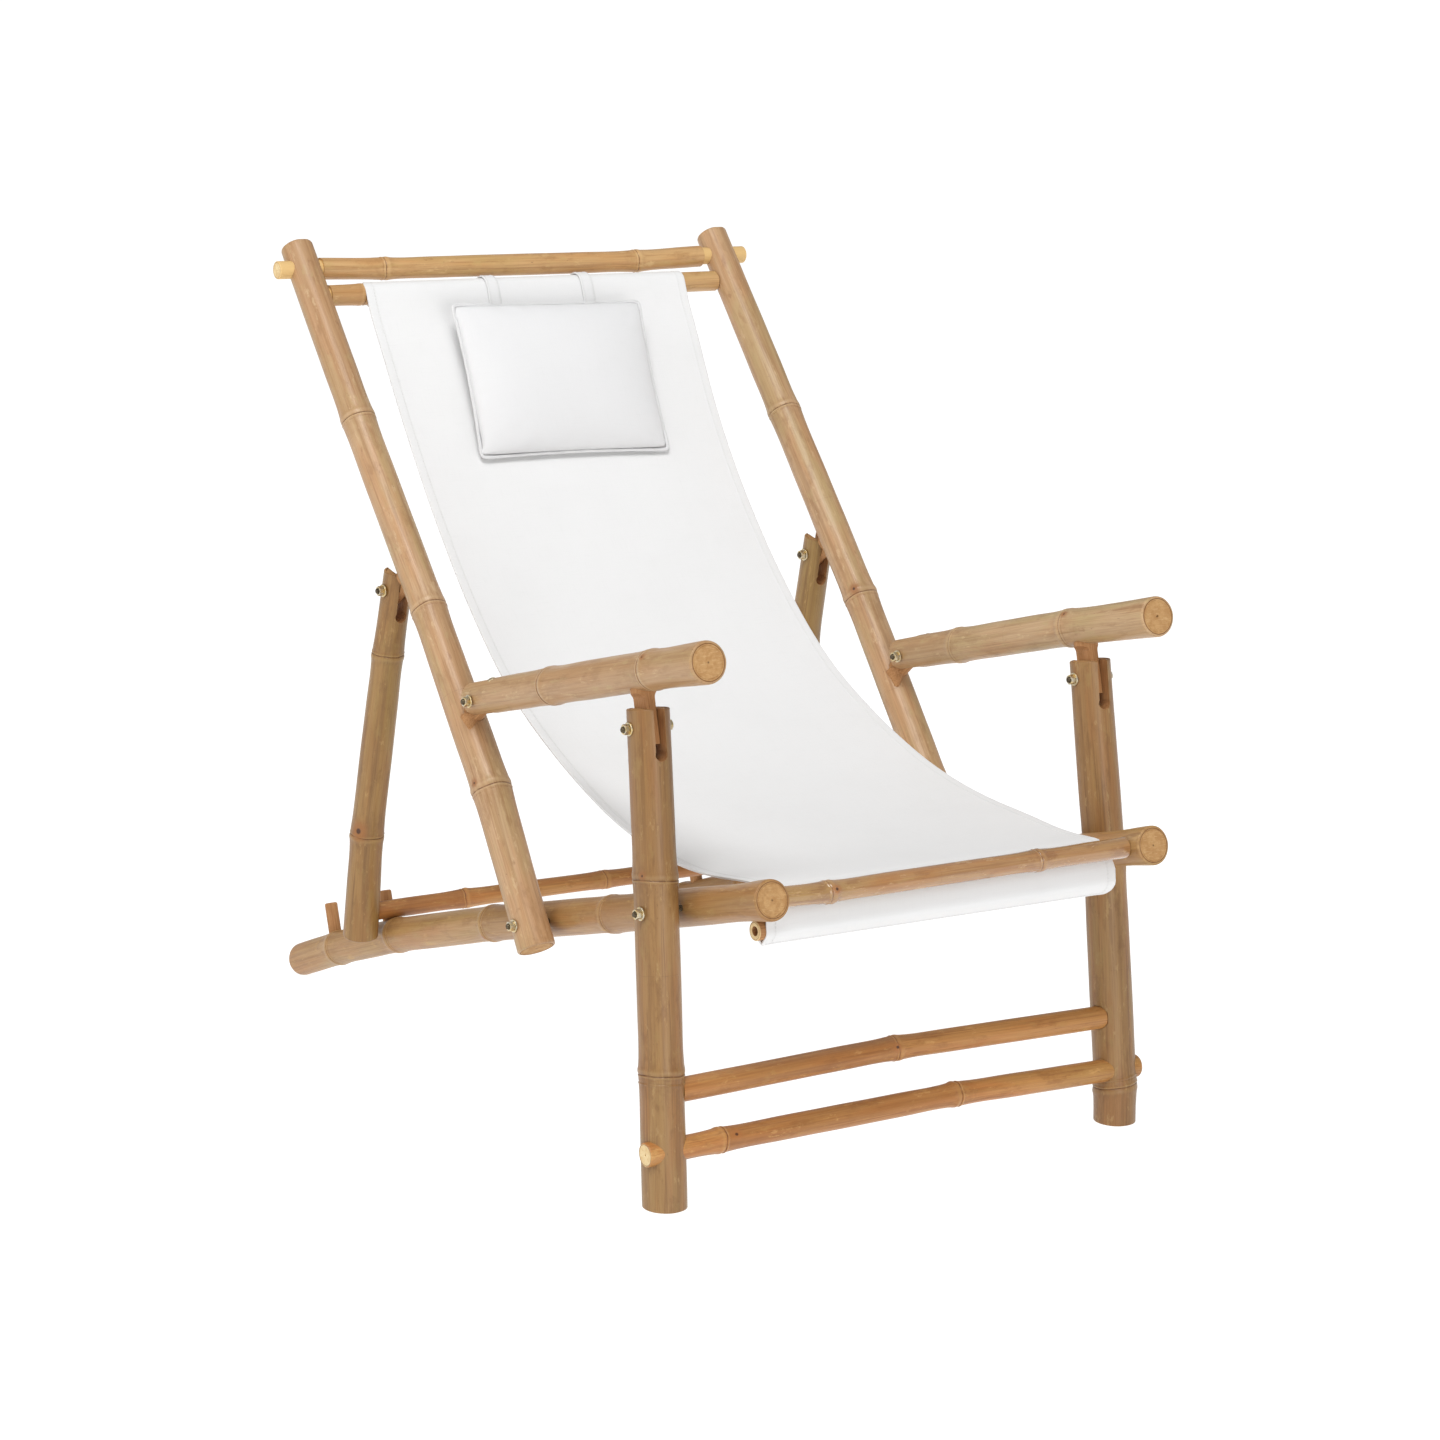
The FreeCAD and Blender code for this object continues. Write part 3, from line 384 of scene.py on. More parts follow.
WEB = cloth("webbing_white", (0.80, 0.80, 0.80), (0.55, 0.55, 0.54), 1.3, strength=0.6)
STITCH = cloth("sewing_thread", (0.74, 0.74, 0.73), (0.5, 0.5, 0.5), 0.3, strength=0.3)


# ------------------------------------------------------------------ meshes
def mesh_obj(name, verts, faces, mats, fmat=None, sharp=None):
    me = bpy.data.meshes.new(name)
    me.from_pydata((np.asarray(verts, float) * MM).tolist(), [], faces)
    for m in mats:
        me.materials.append(m)
    if fmat is not None:
        me.polygons.foreach_set("material_index", np.asarray(fmat, np.int32))
    me.update()
    me.shade_smooth()
    if sharp:
        me.set_sharp_from_angle(angle=math.radians(sharp))
    ob = bpy.data.objects.new(name, me)
    SC.collection.objects.link(ob)
    return ob


def join_parts(parts):
    """[(verts, faces, material index), ...] as one list of each."""
    vs, fs, ms, base = [], [], [], 0
    for v, f, m in parts:
        v = np.asarray(v, float).reshape(-1, 3)
        vs.append(v)
        fs += [tuple(i + base for i in q) for q in f]
        ms += [m] * len(f) if np.isscalar(m) else list(m)
        base += len(v)
    return np.concatenate(vs), fs, ms


def wrap_faces(rows, cols, wrap=True, base=0, flip=False):
    out = []
    for j in range(rows - 1):
        for i in range(cols if wrap else cols - 1):
            a = base + j * cols + i
            b = base + j * cols + (i + 1) % cols
            q = (a, b, b + cols, a + cols)
            out.append(q[::-1] if flip else q)
    return out


def verts_of(me):
    co = np.zeros(len(me.vertices) * 3, np.float32)
    me.vertices.foreach_get("co", co)
    return co.reshape(-1, 3).astype(float) / MM


def put_attr(me, name, kind, values):
    a = me.attributes.get(name) or me.attributes.new(name, kind, "POINT")
    a.data.foreach_set("vector" if kind == "FLOAT_VECTOR" else "value", np.asarray(values, np.float32).ravel())


def wrap_pi(a):
    return (a + math.pi) % TAU - math.pi


class Culm:
    """A culm's axis through its stations, with the shape of its skin and the paint coordinates that follow it."""

    def __init__(self, stations, radii, seed, ref=(1, 0, 0), bend=11.0, grow=1.0, swell=1.0, uneven=1.0,
                 nodes=None, flare=(), eyes=(), tenons=(), double=(), rounds=(1.8, 1.8)):
        p = [A(*s) for s in stations]
        self.seed, self.grow, self.swell, self.uneven = seed, grow, swell, uneven
        self.flare, self.rounds, self.double = list(flare), rounds, set(double)
        pts, idx = [p[0]], []
        for i in range(1, len(p) - 1):
            u0, u1 = unit(p[i] - p[i - 1]), unit(p[i + 1] - p[i])
            b = min(bend, 0.45 * np.linalg.norm(p[i] - p[i - 1]), 0.45 * np.linalg.norm(p[i + 1] - p[i]))
            a, c = p[i] - u0 * b, p[i] + u1 * b
            for k in range(13):
                w = k / 12.0
                pts.append((1 - w) ** 2 * a + 2 * w * (1 - w) * p[i] + w * w * c)
        pts.append(p[-1])
        pts = np.array(pts)
        seg = np.linalg.norm(np.diff(pts, axis=0), axis=1)
        s = np.concatenate([[0], np.cumsum(seg)])
        self.L = s[-1]
        n = int(self.L) + 1
        self.S = np.linspace(0, self.L, n)
        self.P = np.stack([np.interp(self.S, s, pts[:, k]) for k in range(3)], 1)
        T = np.gradient(self.P, self.S, axis=0)
        k = np.ones(9) / 9.0
        Ts = np.stack([np.convolve(np.pad(T[:, c], 4, mode="edge"), k, mode="valid") for c in range(3)], 1)
        self.T = Ts / np.linalg.norm(Ts, axis=1)[:, None]
        ref = A(*ref)
        e1 = ref - (self.T @ ref)[:, None] * self.T
        self.E1 = e1 / np.linalg.norm(e1, axis=1)[:, None]
        self.E2 = np.cross(self.T, self.E1)
        st = [float(self.S[np.argmin(np.linalg.norm(self.P - q, axis=1))]) for q in p]
        self.st = st
        self.R = np.interp(self.S, st, radii)
        ids = range(1, len(p) - 1) if nodes is None else nodes
        self.nodes = []
        for i in ids:
            h = [rnd(seed, i, j) for j in range(8)]
            self.nodes.append(dict(s=st[i], tilt=0.02 + 0.07 * h[0], phi=TAU * h[1], amp=0.75 + 0.5 * h[2],
                                   ridge=0.75 + 0.5 * h[3], ph2=TAU * h[4], wav=0.25 + 0.35 * h[5],
                                   gap=2.9 + 1.6 * h[6], double=i in self.double))
        self.eyes = []
        for e in eyes:
            i, direction, size, height = e[:4]
            ds = e[4] if len(e) > 4 else 2.0
            sk = st[i] + ds
            d = A(*direction)
            j = int(np.clip(round(sk), 0, n - 1))
            th = math.atan2(d @ self.E2[j], d @ self.E1[j])
            self.eyes.append((sk, th, size, height, float(self.R[j])))
        self.tenons = list(tenons)

    def at(self, s):
        s = np.clip(np.asarray(s, float), 0, self.L)
        f = lambda a: np.stack([np.interp(s, self.S, a[:, k]) for k in range(3)], -1)
        return f(self.P), f(self.T), f(self.E1), f(self.E2)

    def base_r(self, s):
        r = np.interp(s, self.S, self.R)
        for (c, w, amp) in self.flare:
            r = r + amp * np.exp(-((s - c) / w) ** 2)
        for (a, b, rt) in self.tenons:
            r = np.where((s >= a) & (s <= b), rt, r)
        return r

    def in_tenon(self, s):
        m = np.zeros(np.shape(s))
        for (a, b, rt) in self.tenons:
            m = np.where((s >= a - 0.01) & (s <= b + 0.01), 1.0, m)
        return m

    def node_d(self, nd, s, th, r):
        return ((s - nd["s"]) * self.grow - nd["tilt"] * r * np.cos(th - nd["phi"])
                - nd["wav"] * np.sin(2 * th + nd["ph2"]) - 0.2 * np.sin(5 * th + 2 * nd["ph2"]))

    def surface(self, s, th):
        """Radius of the skin at distance s along the culm and angle th; s and th broadcast."""
        r0 = self.base_r(s)
        ten = self.in_tenon(s)
        r = r0 + np.zeros(np.broadcast(s, th).shape)
        h = [rnd(self.seed, 77, j) * TAU for j in range(8)]
        u = self.uneven * (1 - ten)
        r = r + u * (0.16 * np.sin(2 * th + h[0] + s / 260.0) + 0.10 * np.sin(3 * th + h[1] - s / 140.0)
                     + 0.10 * np.sin(s / 34.0 + h[2] + np.sin(th + h[3])) + 0.05 * np.sin(7 * th + h[4] + s / 60.0)
                     + 0.06 * np.sin(s / 11.0 + h[5]) * np.sin(2 * th + h[6]))
        for k, nd in enumerate(self.nodes):
            d = self.node_d(nd, s, th, r0)
            w = self.swell * (1 - ten)
            m = 1.0 + 0.22 * np.sin(th * 1.0 + nd["ph2"]) + 0.1 * np.sin(3 * th + nd["phi"])
            prof = (0.46 * nd["amp"] * np.exp(-((d + 1.9) / 1.1) ** 2)
                    - 0.42 * np.exp(-((d + 0.55) / 0.55) ** 2)
                    + 0.62 * nd["ridge"] * m * np.exp(-((d - nd["gap"]) / 3.2) ** 2)
                    + 0.62 * np.exp(-((d - 1.0) / 13.0) ** 2)
                    - 0.28 * np.exp(-((d - 30.0) / 20.0) ** 2) - 0.22 * np.exp(-((d + 32.0) / 22.0) ** 2))
            if nd["double"]:
                prof = prof + 0.5 * np.exp(-((d + 9.0) / 1.0) ** 2) - 0.35 * np.exp(-((d + 7.7) / 0.6) ** 2)
            # the shallow groove above a bud
            if k % 2 == 0 and nd.get("groove", True):
                dd = np.clip((s - nd["s"]) * self.grow, 0, None)
                g = np.exp(-(wrap_pi(th - nd["phi"] - 1.0) / 0.30) ** 2)
                prof = prof - 0.55 * g * np.exp(-dd / 90.0) * (1 - np.exp(-dd / 6.0))
            r = r + w * prof
        for (sk, tk, size, height, rr) in self.eyes:
            d2 = ((s - sk) / (size * 0.62)) ** 2 + (wrap_pi(th - tk) * rr / (size * 0.5)) ** 2
            r = r + height * (np.exp(-d2) - 0.85 * np.exp(-d2 * 7.0))
        return r

    def local(self, pts):
        """(x, y, s, angle) of points on the culm."""
        ch = unit(self.P[-1] - self.P[0])
        along = (self.P - self.P[0]) @ ch
        s = np.interp((pts - self.P[0]) @ ch, along, self.S)
        for _ in range(2):
            P, T, E1, E2 = self.at(s)
            s = np.clip(s + np.einsum("ij,ij->i", pts - P, T), 0, self.L)
        P, T, E1, E2 = self.at(s)
        x = np.einsum("ij,ij->i", pts - P, E1)
        y = np.einsum("ij,ij->i", pts - P, E2)
        return x, y, s, np.arctan2(y, x)

    def rings(self):
        L, out = self.L, []
        step = 7.0
        out += list(np.linspace(0, L, max(3, int(L / step) + 1)))
        for nd in self.nodes:
            for d in (0, .35, .7, 1.05, 1.4, 1.8, 2.2, 2.7, 3.2, 3.8, 4.5, 5.3, 6.2, 7.3, 8.6, 10.2, 12.2, 14.8, 18.5, 23):
                out += [nd["s"] + d, nd["s"] - d]
            if nd["double"]:
                out += [nd["s"] - self.grow * d for d in (7.0, 7.4, 7.7, 8.0, 8.4, 8.8, 9.2, 9.7, 10.4, 11.2)]
        for e in self.eyes:
            out += list(np.linspace(e[0] - e[2], e[0] + e[2], 17))
        for (a, b, rt) in self.tenons:
            out += [a - 1.2, a - 0.02, a + 0.02, a + 1.0, b - 1.0, b - 0.02, b + 0.02, b + 1.2]
        for k in range(9):
            for end, c in ((0, self.rounds[0]), (1, self.rounds[1])):
                d = c * (1 - math.cos(math.pi / 2 * k / 8.0))
                out.append(d if end == 0 else L - d)
        out = sorted(x for x in out if 0 <= x <= L)
        keep = [0.0]
        tight = {round(t, 3) for (a, b, rt) in self.tenons for t in (a - 0.02, a + 0.02, b - 0.02, b + 0.02)}
        for x in out:
            lim = 0.05 if (x < self.rounds[0] + .01 or x > L - self.rounds[1] - .01) else 0.22
            if x - keep[-1] > lim or round(x, 3) in tight:
                if x > keep[-1]:
                    keep.append(x)
        if L - keep[-1] > 1e-6:
            keep[-1] = L
        return np.array(keep)

    def mesh(self, segs=72, discs=("plain", "plain")):
        ss = self.rings()
        th = np.linspace(0, TAU, segs, endpoint=False)
        R = self.surface(ss[:, None], th[None, :])
        for end, c in ((0, self.rounds[0]), (1, self.rounds[1])):
            if c <= 0:
                continue
            d = ss if end == 0 else self.L - ss
            k = np.clip(c - d, 0, c)
            R = R - (c - np.sqrt(np.maximum(c * c - k * k, 0)))[:, None]
        P, T, E1, E2 = self.at(ss)
        ring = np.cos(th)[None, :, None] * E1[:, None] + np.sin(th)[None, :, None] * E2[:, None]
        V = (P[:, None] + R[:, :, None] * ring).reshape(-1, 3)
        faces = wrap_faces(len(ss), segs)
        mats = [0] * len(faces)
        verts = [V]
        n = len(V)
        for end in (0, 1):
            row = 0 if end == 0 else len(ss) - 1
            centre, t = P[row], (T[row] if end == 0 else -T[row])
            prev = [row * segs + i for i in range(segs)]
            kind = discs[end]
            if kind == "plain":
                prof = [(0.97, 0.05), (0.90, 0.1), (0.885, 0.55), (0.855, 0.6), (0.84, 0.15), (0.7, 0.2), (0.5, 0.3),
                        (0.3, 0.3), (0.12, 0.25)]
            elif kind == "pith":
                prof = [(0.97, 0.05), (0.90, 0.1), (0.885, 0.4), (0.86, 0.45), (0.845, 0.15), (0.6, 0.25), (0.3, 0.3),
                        (0.095, 0.35), (0.08, 0.6), (0.06, 2.6)]
            elif kind == "spiral":
                prof = [(0.97, 0.05), (0.91, 0.1), (0.895, 0.7), (0.85, 0.75), (0.83, 0.2), (0.62, 0.25), (0.58, 0.6),
                        (0.53, 0.6), (0.49, 0.25), (0.3, 0.3), (0.26, 0.55), (0.2, 0.5), (0.14, 0.3)]
            else:  # dowel
                prof = [(0.96, 0.05), (0.8, 0.12), (0.5, 0.12), (0.2, 0.15), (0.13, 0.2), (0.1, 0.9), (0.07, 2.2)]
            Rr = R[row]
            for fi, (f, dep) in enumerate(prof):
                wob = 1.0 + (0.02 * np.sin(2 * th + self.seed) + 0.012 * np.sin(5 * th)) * (1 if f < 0.95 else 0)
                if kind == "spiral" and 0.15 < f < 0.7:
                    wob = wob + 0.10 * np.sin(th + 1.0) - 0.05 * (th / TAU)
                rr = Rr * f * wob
                d = dep + 0.12 * np.sin(3 * th + self.seed) * (1 - f)
                verts.append(centre + t * d[:, None] + rr[:, None] * ring[row])
                cur = [n + i for i in range(segs)]
                for i in range(segs):
                    q = (prev[i], prev[(i + 1) % segs], cur[(i + 1) % segs], cur[i])
                    faces.append(q[::-1] if end == 0 else q)
                    mats.append(1)
                prev = cur
                n += segs
            verts.append((centre + t * (prof[-1][1] + 0.1))[None])
            for i in range(segs):
                q = (prev[i], prev[(i + 1) % segs], n)
                faces.append(q[::-1] if end == 0 else q)
                mats.append(1)
            n += 1
        return np.concatenate(verts), faces, mats

    def paint(self, ob):
        me = ob.data
        co = verts_of(me)
        x, y, s, th = self.local(co)
        r0 = self.base_r(s)
        best = np.full(len(s), 400.0)
        for nd in self.nodes:
            d = self.node_d(nd, s, th, r0)
            best = np.where(np.abs(d) < np.abs(best), d, best)
        cuts = sorted(nd["s"] for nd in self.nodes)
        iv = np.zeros(len(s))
        for i in range(len(cuts) + 1):
            v = rnd(self.seed, 5, i)
            if i == 0:
                iv[:] = v
            else:
                w = np.clip((s - cuts[i - 1] + 2.0) / 4.0, 0, 1)
                iv = iv * (1 - w) + v * w
        kn = np.zeros(len(s))
        for (sk, tk, size, height, rr) in self.eyes:
            d2 = ((s - sk) / (size * 0.62)) ** 2 + (wrap_pi(th - tk) * rr / (size * 0.5)) ** 2
            kn = np.maximum(kn, 0.62 * np.exp(-d2 * 0.8) + 0.38 * np.exp(-d2 * 9.0))
        put_attr(me, "cc", "FLOAT_VECTOR", np.stack([x, y, s + 900.0 * self.seed], 1) / 10.0)
        put_attr(me, "nd", "FLOAT", best)
        put_attr(me, "ax", "FLOAT_VECTOR", np.stack([iv, kn, self.in_tenon(s)], 1))
        put_attr(me, "rf", "FLOAT", np.hypot(x, y) / r0)


def prism(poly, origin, ax_u, ax_v, ax_w, half, half2=None):
    """A convex outline (u, v) pushed along ax_w from -half to half2."""
    half2 = half if half2 is None else half2
    o, u, v, w = (np.asarray(k, float) for k in (origin, ax_u, ax_v, ax_w))
    base = np.array([o + a * u + b * v for a, b in poly])
    n = len(poly)
    verts = np.concatenate([base - w * half, base + w * half2])
    faces = [tuple(range(n))[::-1], tuple(range(n, 2 * n))]
    faces += [(i, (i + 1) % n, n + (i + 1) % n, n + i) for i in range(n)]
    # outward when u, v, w are right-handed and poly runs counter-clockwise
    if np.dot(np.cross(u, v), w) < 0:
        faces = [f[::-1] for f in faces]
    return verts, faces


def rod_cutter(p, d, r0, r1, length, segs=40):
    p, d = np.asarray(p, float), unit(d)
    a = np.cross(d, A(0, 0, 1) if abs(d[2]) < 0.9 else A(1, 0, 0))
    a = unit(a)
    b = np.cross(d, a)
    th = np.linspace(0, TAU, segs, endpoint=False)
    ring = np.cos(th)[:, None] * a + np.sin(th)[:, None] * b
    verts = np.concatenate([p + ring * r0, p + d * length + ring * r1])
    faces = [tuple(range(segs))[::-1], tuple(range(segs, 2 * segs))]
    faces += [(i, (i + 1) % segs, segs + (i + 1) % segs, segs + i) for i in range(segs)]
    return verts, faces


def carve(ob, cutters, mat):
    """Takes each closed cutter out of ob; the new faces get mat."""
    temps = []
    for k, (v, f) in enumerate(cutters):
        c = mesh_obj("cutter_%d" % k, v, f, [mat])
        c.hide_render = True
        temps.append(c)
        m = ob.modifiers.new("cut_%d" % k, "BOOLEAN")
        m.operation = "DIFFERENCE"
        m.solver = "EXACT"
        m.material_mode = "TRANSFER"
        m.object = c
    dg = bpy.context.evaluated_depsgraph_get()
    me = bpy.data.meshes.new_from_object(ob.evaluated_get(dg))
    ob.modifiers.clear()
    ob.data = me
    for c in temps:
        bpy.data.objects.remove(c)
    return ob


def place(ob, body, slot, *nodes):
    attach(ob, body)
    if nodes:
        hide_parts(*nodes)
    return ob


def keep_in_box(ob):
    """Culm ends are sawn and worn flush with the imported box."""
    co = verts_of(ob.data)
    lo, hi = (np.array([float(c) for c in q]) / MM for q in cad_box)
    ob.data.vertices.foreach_set("co", (np.clip(co, lo + 0.01, hi - 0.01) * MM).astype(np.float32).ravel())
    ob.data.update()


def drop_strays(ob, cul):
    """Removes cut faces that stand clear of the culm's skin."""
    me = ob.data
    x, y, s, th = cul.local(verts_of(me))
    high = np.hypot(x, y) > cul.base_r(s) + 1.6
    n = len(me.polygons)
    mi = np.zeros(n, np.int32)
    me.polygons.foreach_get("material_index", mi)
    bad = [i for i, p in enumerate(me.polygons) if mi[i] == len(me.materials) - 1 and all(high[v] for v in p.vertices)]
    if bad:
        import bmesh
        bm = bmesh.new()
        bm.from_mesh(me)
        bm.faces.ensure_lookup_table()
        bmesh.ops.delete(bm, geom=[bm.faces[i] for i in bad], context="FACES")
        bm.to_mesh(me)
        bm.free()
        print("strays", ob.name, len(bad))


def finish_culm(ob, cul, body, slot, node, sharp=38):
    if cul.nodes:
        drop_strays(ob, cul)
    keep_in_box(ob)
    cul.paint(ob)
    ob.data.shade_smooth()
    ob.data.set_sharp_from_angle(angle=math.radians(sharp))
    return place(ob, body, slot, node)


# ------------------------------------------------------------------ layout, the same numbers as the construction
RAIL_X, SIDE_X = 226.2, 265.4
PIV = {"back": (-100.3, 207.9), "leg": (-340.4, 282.0), "post": (-304.2, 451.8), "arm": (0.4, 415.8), "prop": (185.5, 495.3)}
HANDLE, CANVAS_BAR = (403.7, 804.2), (383.6, 777.7)
FRONT_BAR, UPPER, LOWER = (-443.3, 313.4), (-363.5, 110.0), (-373.8, 55.0)
PROP_BAR, HEM = (254.7, 128.2), (-430.0, 279.4)
STATIONS = {
    "seat_rail_right": [(-464.7, 318.6, 18.2), (-446.0, 313.3, 18.5), (-173.0, 229.8, 18.6), (34.0, 169.0, 18.6),
                        (236.0, 104.0, 18.6), (372.0, 54.2, 18.8), (463.0, 16.2, 18.4)],
    "seat_rail_left": [(-464.7, 318.6, 18.2), (-441.0, 311.8, 18.5), (-205.0, 239.6, 18.6), (-12.0, 182.6, 18.6),
                       (236.0, 104.0, 18.6), (363.0, 57.6, 18.8), (463.0, 16.2, 18.4)],
    "back_pole_right": [(-113.0, 184.6, 19.0), (-18.0, 325.7, 18.8), (124.0, 493.6, 18.3), (280.0, 664.7, 17.8),
                        (421.0, 826.0, 17.3)],
    "back_pole_left": [(-113.0, 184.6, 19.0), (-52.0, 278.0, 18.9), (95.0, 461.0, 18.5), (258.0, 644.0, 17.8),
                       (421.0, 826.0, 17.3)],
    "armrest_right": [(18.4, 410.6, 18.0), (-109.0, 448.6, 18.4), (-288.0, 500.4, 18.8), (-404.0, 531.6, 18.6)],
    "armrest_left": [(18.4, 410.6, 18.0), (-65.0, 435.6, 18.3), (-249.0, 489.6, 18.8), (-404.0, 531.6, 18.6)],
    "prop_right": [(182.2, 514.6, 16.2), (197.6, 425.0, 17.2), (232.0, 229.0, 18.6), (255.6, 102.4, 18.9)],
    "prop_left": [(182.2, 514.6, 16.2), (203.0, 394.0, 17.4), (236.0, 207.0, 18.6), (255.6, 102.4, 18.9)],
    "front_leg_right": [(-303.0, 470.0, 20.0), (-327.6, 304.0, 20.6), (-356.2, 113.0, 21.4), (-375.0, -12.0, 21.6)],
    "front_leg_left": [(-303.0, 470.0, 20.0), (-332.6, 272.0, 20.7), (-369.0, 30.0, 21.5), (-375.0, -12.0, 21.6)],
}
BAR_NODES = {
    "handle_bar": [(-171.0, -2.0), (152.0, -3.2)],
    "canvas_bar": [(-206.0, 0.0), (70.0, 0.0)],
    "front_crossbar": [(-151.0, -1.6), (97.0, -0.2)],
    "upper_stretcher": [(-4.6, 5.0)],
    "lower_stretcher": [(-213.0, 1.6), (66.5, 4.6)],
    "prop_crossbar": [(-140.0, 0.8), (40.0, 0.6)],
}
SIDES = (("right", -1.0), ("left", 1.0))
TO_CAM = A(-0.542, -0.810, 0.222)


# how each culm wanders from its straight line: x, y and radius at its stations
WANDER = {
    "armrest_right": [(0, 0, -0.9, 2.4), (0, -23.0, 0, 8.2), (0, -24.0, 0.3, 8.0), (0, 0, 0.3, 2.0)],
    "armrest_left": [(0, 0, -0.9, 2.4), (0, -23.0, 0, 8.2), (0, -23.0, 0.3, 8.0), (0, 0, 0.6, 2.0)],
    "back_pole_right": [(0, 0, 0), (0, 0, 0), (0, -6.0, 0, -7.1), (0, -4.8, 0, -5.3), (0, 0, 0)],
    "back_pole_left": [(0, 0, 0), (0, 0, 0), (-1.2, 0, -0.2), (-0.5, 0, 0), (0, 0, 0)],
    "prop_right": [(0, 0, -0.6), (-2.0, 2.5, -1.0), (-3.0, 6.5, -1.1, -9.0), (0, 0, -0.3)],
    "front_leg_right": [(0, -0.5, 0.3), (0, -3.0, 0.4, 7.5), (0, -1.0, 0, 15.0), (0, 0, 0)],
    "front_leg_left": [(0, 0, 0.6), (2.6, -4.0, 0.9), (2.0, -1.5, 0.7, 6.5), (0, 0, 0.5)],
    "seat_rail_right": [(0, 0, 0), (0, 0, 0), (0, -23.0, 0, 7.1), (0, 0, 0), (0, 0, 0), (0, 0, 0), (0, 0, 0)],
}


def side_points(name, x_top, x_foot=None):
    pts, rad = [], []
    for i, (y, z, r) in enumerate(STATIONS[name]):
        dx, dy, dr, dz = (tuple(WANDER[name][i]) + (0,))[:4] if name in WANDER else (0, 0, 0, 0)
        x = x_top if x_foot is None else x_foot + (x_top - x_foot) * z / 451.8
        pts.append((x + dx, y + dy, z + dz))
        rad.append(r + dr)
    return pts, rad


def slot_cutter(pivot, end_dir, reach_in, reach_out, x, width=12.0, r_round=None):
    """Open slot, square to X, with a round bottom."""
    u = unit(A(0, end_dir[0], end_dir[1]))
    h = width / 2.0
    straight = reach_in - h
    poly = [(reach_out, -h), (reach_out, h), (-straight, h)]
    poly += [(-straight - h * math.sin(a), h * math.cos(a)) for a in np.linspace(0, math.pi, 13)[1:-1]]
    poly += [(-straight, -h)]
    w = np.cross(u, A(1, 0, 0))
    o = A(x, pivot[0], pivot[1])
    return prism(poly, o, u, A(1, 0, 0), w, 60.0), o - u * straight, w


def scoop(centre, w, radius, culm_r):
    """The drilled bottom of a slot, a little wider than its saw cuts."""
    return [rod_cutter(centre - w * (culm_r + 14.0), w, radius, radius, 2 * culm_r + 28.0, 48)]


def heel(pivot, ax, w, r):
    """Everything behind the pivot and outside a circle of r round it."""
    arc = np.linspace(-math.pi / 2, math.pi / 2, 25)
    near_ = np.array([pivot + ax * r * math.cos(a) + w * r * math.sin(a) for a in arc])
    far_ = np.array([pivot + ax * 70.0 * math.cos(a) + w * 70.0 * math.sin(a) for a in arc])
    n = len(arc)
    off = A(32.0, 0, 0)
    ring = np.concatenate([near_ - off, far_ - off, near_ + off, far_ + off])
    fc = []
    for i in range(n - 1):
        fc += [(i, i + 1, n + i + 1, n + i), (2 * n + i, 3 * n + i, 3 * n + i + 1, 2 * n + i + 1),
               (i, 2 * n + i, 2 * n + i + 1, i + 1), (n + i, n + i + 1, 3 * n + i + 1, 3 * n + i)]
    fc += [(0, n, 3 * n, 2 * n), (n - 1, 2 * n + n - 1, 3 * n + n - 1, n + n - 1)]
    return ring, fc


